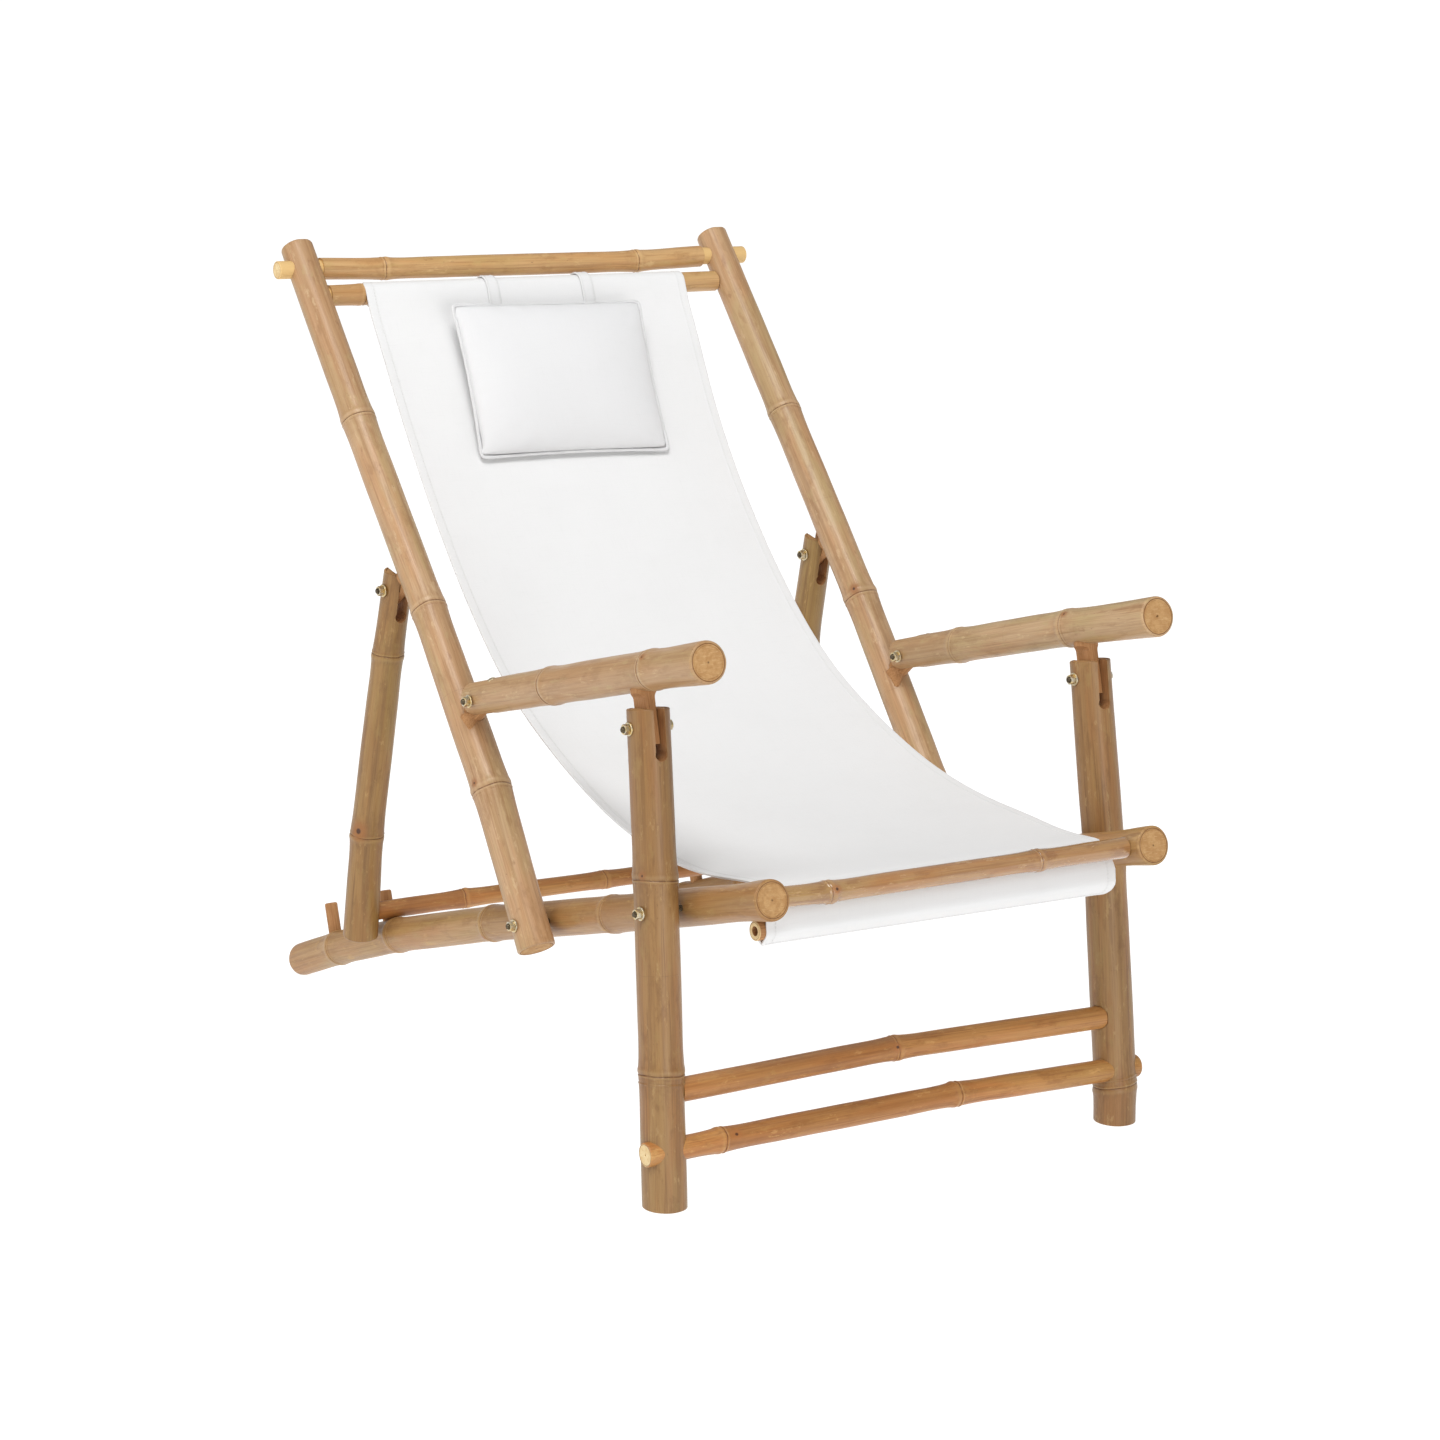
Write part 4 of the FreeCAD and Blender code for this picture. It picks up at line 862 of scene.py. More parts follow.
# ------------------------------------------------------------------ culms of the two sides
CAM_SIDE = {-1.0: A(-0.80, -0.58, 0.15), 1.0: A(-0.62, -0.76, 0.2)}
for side, sx in SIDES:
    X = sx * SIDE_X
    k = 0 if sx < 0 else 1
    # seat rail
    name = "seat_rail_" + side
    pts, rad = side_points(name, sx * RAIL_X)
    c = Culm(pts, rad, 3 + k, nodes=[2, 3, 4, 5], flare=[(0.0, 26.0, 1.5), (60.0, 40.0, -0.9), (1000.0, 30.0, 0.0)],
             eyes=[(3, (-0.75, -0.3, -0.6), 9.0, 0.5, 6.0)] if sx < 0 else [(2, (-0.7, -0.5, 0.5), 9.0, 0.5, 6.0)])
    v, f, m = c.mesh(72, ("spiral" if sx < 0 else "plain", "plain"))
    ob = mesh_obj("rail_culm_" + side, v, f, [RAIL_M, END], m)
    rear = unit(A(0, 372.0 - 236.0, 54.2 - 104.0))
    up = A(0, -rear[2], rear[1])
    s_bar = (A(0, *PROP_BAR) - A(0, 236.0, 104.0)) @ rear
    cuts = [rod_cutter(A(sx * (RAIL_X - 25), *FRONT_BAR), A(sx, 0, 0), 7.3, 7.3, 24.0)]
    pegs = []
    for q in (17.6, 97.6, 149.6):
        b = A(0, 236.0, 104.0) + rear * (s_bar + q)
        b[0] = sx * (RAIL_X - 2.4)
        pegs.append(b)
        cuts.append(rod_cutter(b - up * 4.0, up, 7.3, 7.3, 44.0))
    carve(ob, cuts, CUT)
    finish_culm(ob, c, "seat_frame", "pale_bamboo", name)

    # back pole
    name = "back_pole_" + side
    pts, rad = side_points(name, X)
    eyes = [(1, (-0.95, -0.1, 0.3), 9.0, 0.6, 8.0)] if sx < 0 else [(2, (-0.75, -0.55, 0.35), 12.0, 1.0, 6.0)]
    c = Culm(pts, rad, 11 + k, eyes=eyes, flare=[(0.0, 30.0, 0.5)] + ([(210.0, 105.0, 1.6)] if sx < 0 else []), rounds=(2.2, 2.0))
    v, f, m = c.mesh(72, ("plain", "plain"))
    ob = mesh_obj("pole_culm_" + side, v, f, [POLE_M, END], m)
    cuts = [rod_cutter(A(X - 30, *HANDLE), A(1, 0, 0), 9.8, 9.8, 60.0),
            rod_cutter(A(X - 30 if sx > 0 else X - 10.0, *CANVAS_BAR), A(1, 0, 0), 8.9, 8.9, 40.0)]
    for root, piv in (((34.0, 386.6), PIV["arm"]), ((153.9, 522.2), PIV["prop"])):
        d = unit(A(0, piv[0] - root[0], piv[1] - root[1]))
        cuts.append(rod_cutter(A(X, *root), d, 11.25, 11.25, 30.0))
    carve(ob, cuts, CUT)
    finish_culm(ob, c, "back_frame", "pale_bamboo", name)

    # armrest
    name = "armrest_" + side
    pts, rad = side_points(name, X)
    c = Culm(pts, rad, 21 + k, grow=1.0 if sx < 0 else -1.0, flare=[(440.0, 45.0, 1.3)], rounds=(1.2, 2.2),
             eyes=[(2, (-0.7, -0.2, 0.7), 8.0, 0.35, 5.0)] if sx < 0 else [(2, (-0.6, -0.3, 0.75), 9.0, 0.45, 6.0)])
    v, f, m = c.mesh(72, ("plain", "plain" if sx < 0 else "pith"))
    ob = mesh_obj("armrest_culm_" + side, v, f, [ARM_M, END], m)
    ax = unit(A(0, pts[0][1] - pts[1][1], pts[0][2] - pts[1][2]))
    sl, cen, w = slot_cutter(PIV["arm"], (ax[1], ax[2]), 24.0, 40.0, X)
    post = A(0, 0.2751, 0.9614)
    foot = A(X, *PIV["post"])
    cuts = [sl, rod_cutter(foot + post * 20.0, post, 12.5, 12.5, 38.0), heel(A(X, *PIV["arm"]), ax, w, 15.2)]
    carve(ob, cuts, CUT)
    finish_culm(ob, c, side + "_arm", "pale_bamboo", name)

    # front leg
    name = "front_leg_" + side
    pts, rad = side_points(name, sx * 265.4, sx * 273.5)
    pts = pts[:-1] + [tuple(A(*pts[-2]) + (A(*pts[-1]) - A(*pts[-2])) * ((pts[-2][2] - 0.0) / (pts[-2][2] + 12.0)))]
    c = Culm(pts, rad, 31 + k, grow=-1.0 if sx < 0 else 1.0, double=[2], rounds=(1.4, 0.0), uneven=1.1,
             eyes=[(1, (-0.9, -0.35, 0.2), 9.0, 0.5, -5.0)])
    v, f, m = c.mesh(76, ("plain", "plain"))
    # the sawn foot lies flat on the floor
    v = np.asarray(v)
    low = v[:, 2] < 16.0
    t0 = np.clip((16.0 - v[:, 2]) / 16.0, 0, 1)
    x, y, s, th = c.local(v)
    endp = s > c.L - 0.6
    v[endp, 2] = np.maximum(0.0, np.where(np.hypot(x, y)[endp] > 0.965 * rad[-1], 0.35, 0.0))
    ob = mesh_obj("leg_culm_" + side, v, f, [TOAST, END], m)
    ax = unit(A(0, pts[0][1] - pts[1][1], pts[0][2] - pts[1][2]))
    sl, cen, w = slot_cutter(PIV["post"], (ax[1], ax[2]), 31.0, 40.0, X)
    lx, lr = BAR_NODES["lower_stretcher"][0 if sx < 0 else -1]
    lu = unit(A(lx - sx * 298.0, 0, lr))
    cuts = [sl] + scoop(cen, w, 6.6, 20.2) + [
        rod_cutter(A(sx * 236.0, *UPPER), A(sx, 0, 0), 12.3, 12.3, 21.0),
        rod_cutter(A(sx * 250.0, *UPPER), A(sx, 0, 0), 8.9, 8.9, 19.0),
        rod_cutter(A(sx * 298.0, *LOWER) - lu * 30.0, lu, 11.6, 11.6, 110.0)]
    carve(ob, cuts, CUT)
    finish_culm(ob, c, "front_leg_frame", "toasted_bamboo", name)

    # rear prop
    name = "prop_" + side
    pts, rad = side_points(name, X)
    c = Culm(pts, rad, 41 + k, rounds=(0.6, 2.0),
             eyes=[(2, (-0.86, -0.5, 0.1), 21.0, 1.7, -9.0)] if sx < 0 else [(2, (-0.5, -0.8, 0.1), 9.0, 0.6, 4.0)])
    v, f, m = c.mesh(72, ("plain", "plain"))
    ob = mesh_obj("prop_culm_" + side, v, f, [PROP_M, END], m)
    ax = unit(A(0, pts[0][1] - pts[1][1], pts[0][2] - pts[1][2]))
    piv = A(X, *PIV["prop"])
    sl, cen, w = slot_cutter(PIV["prop"], (ax[1], ax[2]), 31.0, 40.0, X)
    px, pr = BAR_NODES["prop_crossbar"][0 if sx < 0 else -1]
    pu = unit(A(px - sx * 286.5, 0, pr))
    cuts = [heel(piv, ax, w, 19.0), sl] + scoop(cen, w, 6.7, 16.9) + [rod_cutter(A(sx * 264.0, *PROP_BAR), pu, 10.2, 10.2, 60.0)]
    carve(ob, cuts, CUT)
    finish_culm(ob, c, "prop_frame", "pale_bamboo", name)

    # stubs in the pole, with tongues, and the post under the armrest
    for tag, root, piv2, flat, over, body in (("arm_hinge_stub_", (34.0, 386.6), PIV["arm"], 17.4, 11.0, "back_frame"),
                                              ("prop_hinge_stub_", (153.9, 522.2), PIV["prop"], 19.6, 11.0, "back_frame"),
                                              ("arm_post_", None, PIV["post"], 28.0, 17.0, side + "_arm")):
        if root is None:
            top = foot + post * 57.0
            root = (top[1], top[2])
        a, b = A(X, *root), A(X, *piv2)
        u = unit(b - a)
        rr = 12.2 if root[1] > 500.0 and piv2 == PIV["post"] else 11.0
        c = Culm([a, b + u * over], [rr, rr], 51 + k + len(tag), nodes=[], uneven=0.7, rounds=(0.4, 0.7))
        v, f, m = c.mesh(48, ("dowel", "dowel"))
        ob = mesh_obj("turned_" + tag + side, v, f, [DOWEL_M, CUT], [0] * len(m))
        w2 = np.cross(u, A(1, 0, 0))
        cuts = []
        for sg in (-1.0, 1.0):
            # a tongue face with a rounded shoulder
            poly = [(over + 4.0, 0), (over + 4.0, 20.0), (-flat - 6.0, 20.0), (-flat - 4.6, 6.0), (-flat - 3.0, 2.4),
                    (-flat - 1.2, 0.6), (-flat + 1.0, 0.0)]
            cuts.append(prism(poly, b + A(sg * 5.0, 0, 0), u, A(sg, 0, 0), w2, 40.0))
        carve(ob, cuts, DOWEL_M)
        if tag == "arm_hinge_stub_":
            # the lip that is whittled down over the pole below the stub
            q0, q1 = A(X - 5.0, 20.4, 393.6), A(X - 10.2, 9.6, 379.6)
            d = unit(q1 - q0)
            e1 = unit(np.cross(d, A(1, 0, 0)))
            e2 = np.cross(d, e1)
            tl = np.linspace(0, TAU, 32, endpoint=False)
            prof = [(0.0, -2.0), (8.0, -2.0), (10.2, -1.0), (10.6, 1.0)] + \
                   [(10.6 - 7.2 * k / 8.0 - 0.5 * math.sin(math.pi * k / 8.0), 1.0 + 15.0 * k / 8.0) for k in range(1, 9)] + \
                   [(2.9, 17.2), (1.8, 18.3), (0.0, 18.8)]
            lv, lf = [], []
            for r_, h_ in prof[1:-1]:
                wv = 1.0 + 0.03 * np.sin(3 * tl + h_ / 4.0 + k)
                lv += list(q0 + d * h_ + (r_ * wv)[:, None] * (np.cos(tl)[:, None] * e1 + np.sin(tl)[:, None] * e2))
            nr = len(prof) - 2
            for j in range(nr - 1):
                for i in range(32):
                    lf.append((j * 32 + i, j * 32 + (i + 1) % 32, (j + 1) * 32 + (i + 1) % 32, (j + 1) * 32 + i))
            lv += [q0 + d * prof[0][1], q0 + d * prof[-1][1]]
            for i in range(32):
                lf.append((nr * 32, (i + 1) % 32, i))
                lf.append((nr * 32 + 1, (nr - 1) * 32 + i, (nr - 1) * 32 + (i + 1) % 32))
            lip_ob = mesh_obj("stub_lip", lv, lf, [DOWEL_M])
            lip_ob.data.update()
            import bmesh
            bm = bmesh.new()
            bm.from_mesh(ob.data)
            bm2 = bmesh.new()
            bm2.from_mesh(lip_ob.data)
            bmesh.ops.recalc_face_normals(bm2, faces=bm2.faces)
            bm2.to_mesh(lip_ob.data)
            bm2.free()
            bm.from_mesh(lip_ob.data)
            bm.to_mesh(ob.data)
            bm.free()
            bpy.data.objects.remove(lip_ob)
        c.paint(ob)
        ob.data.shade_smooth()
        ob.data.set_sharp_from_angle(angle=math.radians(35))
        place(ob, body, "bamboo_dowel", tag + side)

# stop pegs: whittled dowels let into the rails
parts = []
for side, sx in SIDES:
    for qi, q in enumerate((17.6, 97.6, 149.6)):
        b = A(0, 236.0, 104.0) + rear * (s_bar + q)
        b[0] = sx * (RAIL_X - 2.4)
        a = b - up * 3.0
        c = Culm([a, b + up * 51.0 - up * 0.0 - up * 3.0 + up * 3.0], [7.0, 7.0], 61 + qi + (3 if sx > 0 else 0), nodes=[],
                 uneven=0.6, rounds=(0.4, 1.9))
        v, f, m = c.mesh(36, ("dowel", "dowel"))
        parts.append((v, f, m, c))
vv, ff, mm = join_parts([(v, f, m) for v, f, m, c in parts])
ob = mesh_obj("pegs_whittled", vv, ff, [DOWEL_M, END], mm, sharp=45)
cc = []
for v, f, m, c in parts:
    x, y, s, th = c.local(np.asarray(v))
    cc.append(np.stack([x, y, s + 500.0 * c.seed], 1) / 10.0)
put_attr(ob.data, "cc", "FLOAT_VECTOR", np.concatenate(cc))
put_attr(ob.data, "rf", "FLOAT", np.hypot(*(np.concatenate(cc)[:, :2] * 10.0).T) / 7.0)
place(ob, "seat_frame", "bamboo_dowel", "stop_pegs")


# ------------------------------------------------------------------ cross bars
def bar(name, yz, x_body, r, seed, mat, slot, body, tenon=None, x_end=None, end="dowel", eyes=(), ends_mat=None,
        x_far=None, **kw):
    y, z = yz
    x_far = x_body if x_far is None else x_far
    pts = [A(-x_body, y, z)] + [A(x, y, z + dz) for x, dz in BAR_NODES[name]] + [A(x_far, y, z)]
    rad = [r] * len(pts)
    ten = []
    if tenon:
        pts = [A(-x_end, y, z)] + pts + [A(x_end, y, z)]
        rad = [r] + rad + [r]
    n_nodes = len(BAR_NODES[name])
    first = 2 if tenon else 1
    c = Culm(pts, rad, seed, ref=(0, 0, 1), nodes=list(range(first, first + n_nodes)),
             eyes=[(i + first,) + tuple(rest) for (i, *rest) in eyes], rounds=(1.2, 1.2), **kw)
    if tenon:
        c.tenons = [(-1.0, x_end - x_body, tenon), (c.L - (x_end - x_far), c.L + 1.0, tenon)]
    v, f, m = c.mesh(56, (end, end))
    ob = mesh_obj(name + "_culm", v, f, [mat, ends_mat or END_PALE], m)
    c.paint(ob)
    ob.data.shade_smooth()
    ob.data.set_sharp_from_angle(angle=math.radians(40))
    place(ob, body, slot, name)
    return ob, c


bar("handle_bar", HANDLE, 246.6, 11.7, 71, PALE, "pale_bamboo", "back_frame", 9.6, 297.6, x_far=238.5)
bar("canvas_bar", CANVAS_BAR, 246.6, 11.2, 73, PALE, "pale_bamboo", "back_frame", 8.6, 274.0, grow=-1.0, swell=0.6)
bar("front_crossbar", FRONT_BAR, 206.5, 10.5, 75, VARN, "varnished_bamboo", "seat_frame", 7.0, 224.0, swell=1.15,
    eyes=[(0, (-0.3, -0.85, 0.4), 11.0, 0.9, 5.0)])
bar("upper_stretcher", UPPER, 256.0, 11.7, 77, STRETCH, "toasted_bamboo", "front_leg_frame", 8.6, 268.0, swell=1.1,
    eyes=[(0, (-0.35, -0.85, 0.35), 11.0, 1.0, -3.0)])
bar("lower_stretcher", LOWER, 297.8, 11.7, 79, STRETCH, "toasted_bamboo", "front_leg_frame", swell=1.1, grow=-1.0,
    eyes=[(0, (-0.3, -0.8, 0.55), 13.0, 0.5, 12.0)])
bar("prop_crossbar", PROP_BAR, 262.0, 9.9, 81, STRETCH, "pale_bamboo", "prop_frame")

# hollow dowel in the lower sleeve
th = np.linspace(0, TAU, 48, endpoint=False)
prof = [(9.3, -220.0), (9.3, 196.0), (8.9, 196.8), (8.2, 197.0), (5.4, 197.0), (4.7, 196.6), (4.6, 195.0), (4.6, -219.0),
        (4.7, -220.6), (5.4, -221.0), (8.2, -221.0), (8.9, -220.8)]
long = []
for i, (r, x) in enumerate(prof):
    r2, x2 = prof[(i + 1) % len(prof)]
    kk = 40 if abs(x2 - x) > 100 else 1
    for j in range(kk):
        long.append((r + (r2 - r) * j / kk, x + (x2 - x) * j / kk))
vv, cc, rf = [], [], []
for (r, x) in long:
    wob = 1.0 + (0.012 * np.sin(2 * th + x / 120.0) + 0.006 * np.sin(3 * th - x / 50.0)) * (1 if r > 8 else -1)
    for t_, w_ in zip(th, wob):
        vv.append((x, HEM[0] + r * w_ * math.cos(t_), HEM[1] + r * w_ * math.sin(t_)))
        cc.append((r * math.cos(t_) / 10, r * math.sin(t_) / 10, x / 10.0))
        rf.append(r / 9.3)
n, rows = 48, len(long)
ff, mm = [], []
for j in range(rows):
    for i in range(n):
        a, b = j * n + i, j * n + (i + 1) % n
        c_, d_ = ((j + 1) % rows) * n + (i + 1) % n, ((j + 1) % rows) * n + i
        ff.append((a, b, c_, d_))
        mm.append(0 if long[j][0] > 9.2 or long[j][0] < 4.65 else 1)
ob = mesh_obj("hem_dowel_tube", vv, ff, [DOWEL_M, END_PALE], mm, sharp=40)
put_attr(ob.data, "cc", "FLOAT_VECTOR", cc)
put_attr(ob.data, "rf", "FLOAT", rf)
place(ob, "seat_frame", "bamboo_dowel", "hem_dowel")


# ------------------------------------------------------------------ pivot hardware
def frame_x(sg):
    """Local axes (a, b, n) with n = +-X."""
    return A(0, 1, 0), A(0, 0, 1) * sg, A(1, 0, 0) * sg


def disc_mesh(profile, centre, n, segs=40, shape=None):
    """Surface of revolution about n through centre: profile is closed, (radius, height) counter-clockwise."""
    n = unit(n)
    a = unit(np.cross(n, A(0, 0, 1) if abs(n[2]) < 0.9 else A(0, 1, 0)))
    b = np.cross(n, a)
    th = np.linspace(0, TAU, segs, endpoint=False)
    V, rows = [], len(profile)
    for (r, h) in profile:
        rr = r * np.ones(segs) if shape is None else shape(r, h, th)
        hh = h if np.isscalar(h) else h(th)
        V.append(centre + rr[:, None] * (np.cos(th)[:, None] * a + np.sin(th)[:, None] * b) + n * hh)
    V = np.concatenate(V)
    F = []
    for j in range(rows):
        for i in range(segs):
            p, q = j * segs + i, j * segs + (i + 1) % segs
            F.append((p, q, ((j + 1) % rows) * segs + (i + 1) % segs, ((j + 1) % rows) * segs + i))
    return V, F


def hex_r(th, circum, turn=0.0):
    a = circum * math.cos(math.pi / 6)
    t = (th + turn) % (math.pi / 3) - math.pi / 6
    return a / np.cos(t)


def washer_mesh(face, y, z, sg, turn=0):
    """1.5 mm washer on the wood face at x = face, thickness towards sg * X; its stamped edges are rounded."""
    R, r, t = 6.7, 3.12, 1.5
    prof = [(r + 0.25, 0.02), (R - 0.15, 0.0), (R, 0.2), (R, t - 0.55), (R - 0.12, t - 0.25), (R - 0.45, t - 0.03), (R - 0.8, t),
            (r + 0.5, t), (r + 0.15, t - 0.1), (r, t - 0.35), (r, 0.3)]
    return disc_mesh(prof, A(face, y, z), A(sg, 0, 0), 48)


def nut_mesh(face, y, z, sg, turn):
    """Hexagon nut, both faces turned down at the corners."""
    C, t, bore = 5.3, 5.0, 3.05
    a = C * math.cos(math.pi / 6)

    def shape(r, h, th):
        return np.minimum(r, hex_r(th, C, turn)) if r > a else r * np.ones(len(th))

    segs = 72
    n = A(sg, 0, 0)
    ax, b = A(0, 1, 0), np.cross(n, A(0, 1, 0))
    th = np.linspace(0, TAU, segs, endpoint=False)
    rh = hex_r(th, C, turn)
    drop = (rh - a) * 0.577
    rows = [(bore * np.ones(segs), 0.45 * np.ones(segs)), ((bore + 0.4) * np.ones(segs), 0.0 * np.ones(segs)),
            (a * 0.97 * np.ones(segs), 0.0 * np.ones(segs)), (rh * 0.995, drop + 0.02), (rh, drop + 0.12),
            (rh, t - drop - 0.12), (rh * 0.995, t - drop - 0.02), (a * 0.97 * np.ones(segs), t * np.ones(segs)),
            ((bore + 0.4) * np.ones(segs), t * np.ones(segs)), (bore * np.ones(segs), (t - 0.45) * np.ones(segs))]
    c0 = A(face, y, z)
    V = np.concatenate([c0 + r[:, None] * (np.cos(th)[:, None] * ax + np.sin(th)[:, None] * b) + n * h[:, None]
                        for r, h in rows])
    F = []
    m = len(rows)
    for j in range(m):
        for i in range(segs):
            p, q = j * segs + i, j * segs + (i + 1) % segs
            F.append((q, p, ((j + 1) % m) * segs + i, ((j + 1) % m) * segs + (i + 1) % segs))
    return V, F


def bolt_mesh(head_face, y, z, end_x, turn):
    """Hexagon bolt: head outward on +X from head_face, threaded shank to end_x (towards -X)."""
    parts = []
    C, t = 5.5, 4.0
    a = C * math.cos(math.pi / 6)
    segs = 72
    th = np.linspace(0, TAU, segs, endpoint=False)
    rh = hex_r(th, C, turn)
    drop = (rh - a) * 0.577
    ax, b = A(0, 1, 0), A(0, 0, 1)
    one = np.ones(segs)
    rows = [(2.95 * one, 0.0 * one), (a * 0.98 * one, 0.0 * one), (rh, 0.05 * one), (rh, t - drop - 0.1),
            (rh * 0.99, t - drop), (a * 0.9 * one, (t - 0.0) * one), (3.4 * one, t * one), (3.0 * one, (t - 0.25) * one),
            (1.2 * one, (t - 0.28) * one)]
    c0 = A(head_face, y, z)
    V = [c0 + r[:, None] * (np.cos(th)[:, None] * ax + np.sin(th)[:, None] * b) + A(1, 0, 0) * h[:, None] for r, h in rows]
    V.append((c0 + A(t - 0.28, 0, 0))[None])
    F = []
    for j in range(len(rows) - 1):
        for i in range(segs):
            p, q = j * segs + i, j * segs + (i + 1) % segs
            F.append((p, q, q + segs, p + segs))
    last = len(rows) * segs
    for i in range(segs):
        F.append((last - segs + i, last - segs + (i + 1) % segs, last))
    # shank, closed onto the head's first row; the last 16 mm carry the thread
    s2 = 36
    th2 = np.linspace(0, TAU, s2, endpoint=False)
    L = head_face - end_x
    hs = [0.0, L - 17.0] + list(np.arange(L - 16.0, L - 1.0, 0.25)) + [L - 0.6, L - 0.05]
    base = last + 1
    VV = []
    for h in hs:
        if h <= L - 16.0:
            r = 2.96 * np.ones(s2)
        else:
            r = 2.78 + 0.19 * np.cos(TAU * h / 1.0 - th2)
            r = np.minimum(r, 3.0 - max(0.0, h - (L - 1.0)) * 0.85)
        VV.append(c0 - A(h, 0, 0) + r[:, None] * (np.cos(th2)[:, None] * ax + np.sin(th2)[:, None] * b))
    VV.append((c0 - A(L, 0, 0))[None])
    G = []
    for j in range(len(hs) - 1):
        for i in range(s2):
            p, q = base + j * s2 + i, base + j * s2 + (i + 1) % s2
            G.append((q, p, p + s2, q + s2))
    end = base + len(hs) * s2
    for i in range(s2):
        G.append((end - s2 + (i + 1) % s2, end - s2 + i, end))
    G.append(tuple(range(base, base + s2)))
    hd = len(F)
    F.append(tuple(range(segs))[::-1])
    V = np.concatenate(V + VV)
    return V, F + G, [0] * (hd + 1) + [1] * len(G)


def hardware(pivot, x_out, x_in, sx, k):
    y, z = PIV[pivot]
    wt, nt, be = 1.5, 5.0, 2.0
    head_wood, nut_wood = (x_out, x_in) if sx > 0 else (-x_in, -x_out)
    head_face, nut_face = head_wood + wt, nut_wood - wt
    turn = TAU * rnd(k, 3)
    bolt = bolt_mesh(head_face, y, z, nut_face - nt - be, turn)
    ws = [washer_mesh(head_wood, y, z, 1.0), washer_mesh(nut_wood, y, z, -1.0)]
    nut = nut_mesh(nut_face, y, z, -1.0, TAU * rnd(k, 9))
    return bolt, ws, nut


sets = {}
for k, (side, sx) in enumerate(SIDES):
    sets[("back", side)] = hardware("back", SIDE_X + 19.3, RAIL_X - 18.9, sx, 1 + k)
    sets[("leg", side)] = hardware("leg", 289.6, RAIL_X - 18.9, sx, 3 + k)
    sets[("post", side)] = hardware("post", SIDE_X + 20.4, SIDE_X - 20.4, sx, 5 + k)
    sets[("arm", side)] = hardware("arm", SIDE_X + 18.3, SIDE_X - 18.3, sx, 7 + k)
    sets[("prop", side)] = hardware("prop", SIDE_X + 16.6, SIDE_X - 16.6, sx, 9 + k)


def steel(name, parts, body, *nodes):
    v, f, m = join_parts(parts)
    ob = mesh_obj(name, v, f, [ZINC, THREAD_M], m, sharp=32)
    return place(ob, body, "zinced_steel", *nodes)


for p, label, body in (("back", "back_hinge", "seat_frame"), ("leg", "leg_hinge", "seat_frame"),
                       ("post", "arm_post_hinge", "front_leg_frame"), ("prop", "prop_hinge", "prop_frame")):
    two = [sets[(p, "right")], sets[(p, "left")]]
    steel(label + "_bolts_threaded", [b[0] for b in two], body, label + "_bolts")
    steel(label + "_washers_stamped", [(w[0], w[1], 0) for b in two for w in b[1]], body, label + "_washers")
    steel(label + "_nuts_hexagon", [(b[2][0], b[2][1], 0) for b in two], body, label + "_nuts")
for side, sx in SIDES:
    b, ws, n = sets[("arm", side)]
    steel("armrest_bolt_threaded_" + side, [b], side + "_arm", "armrest_bolt_" + side)
    steel("armrest_washers_stamped_" + side, [(w[0], w[1], 0) for w in ws], side + "_arm", "armrest_washers_" + side)
    steel("armrest_nut_hexagon_" + side, [(n[0], n[1], 0)], side + "_arm", "armrest_nut_" + side)
    # dome-headed screw
    sd = unit(A(sx * 0.309, 0.2718, 0.9114))
    sp = A(sx * SIDE_X, -27.4, 424.26) + sd * 17.7
    prof = [(0.05, -11.5), (1.3, -9.5), (1.9, -8.0), (1.9, -1.0), (4.2, -0.6), (4.9, -0.35), (5.0, 0.0), (4.85, 0.7), (4.4, 1.5),
            (3.7, 2.2), (2.8, 2.7), (1.9, 3.0), (1.0, 3.12), (0.05, 3.15)]
    v, f = disc_mesh(prof, sp, sd, 36)
    steel("armrest_screw_domed_" + side, [(v, f, 0)], side + "_arm", "armrest_screw_" + side)


# ------------------------------------------------------------------ canvas
def spline(points, step):
    """Points on a smooth line through the given ones, about step apart (Catmull-Rom, centripetal)."""
    p = [A(*q) for q in points]
    p = [2 * p[0] - p[1]] + p + [2 * p[-1] - p[-2]]
    out = []
    for i in range(1, len(p) - 2):
        p0, p1, p2, p3 = p[i - 1], p[i], p[i + 1], p[i + 2]
        t0 = 0.0
        t1 = t0 + np.linalg.norm(p1 - p0) ** 0.5
        t2 = t1 + np.linalg.norm(p2 - p1) ** 0.5
        t3 = t2 + np.linalg.norm(p3 - p2) ** 0.5
        n = max(1, int(math.ceil(np.linalg.norm(p2 - p1) / step)))
        for k in range(n):
            t = t1 + (t2 - t1) * k / n
            a1 = (t1 - t) / (t1 - t0) * p0 + (t - t0) / (t1 - t0) * p1
            a2 = (t2 - t) / (t2 - t1) * p1 + (t - t1) / (t2 - t1) * p2
            a3 = (t3 - t) / (t3 - t2) * p2 + (t - t2) / (t3 - t2) * p3
            b1 = (t2 - t) / (t2 - t0) * a1 + (t - t0) / (t2 - t0) * a2
            b2 = (t3 - t) / (t3 - t1) * a2 + (t - t1) / (t3 - t1) * a3
            out.append((t2 - t) / (t2 - t1) * b1 + (t - t1) / (t2 - t1) * b2)
    out.append(p[-2])
    return np.array(out)


# the sheet's outer face in the side view (y, z), from the stitched end behind the hem dowel, round the dowel,
# up behind the front crossbar, along the seat and the back, over the canvas bar and down to its stitched end
FACE = [(-341.0, 312.4), (-330, 312), (-265, 311.5), (-205, 316.5), (-145, 327.5), (-92, 343), (-30, 366.5), (34, 397),
        (88, 433), (145, 482), (195, 532.5), (245, 590.5), (293, 655), (335, 720)]
hd, cb = A(*HEM), A(*CANVAS_BAR)


def on(c, r, deg):
    return (c[0] + r * math.cos(math.radians(deg)), c[1] + r * math.sin(math.radians(deg)))


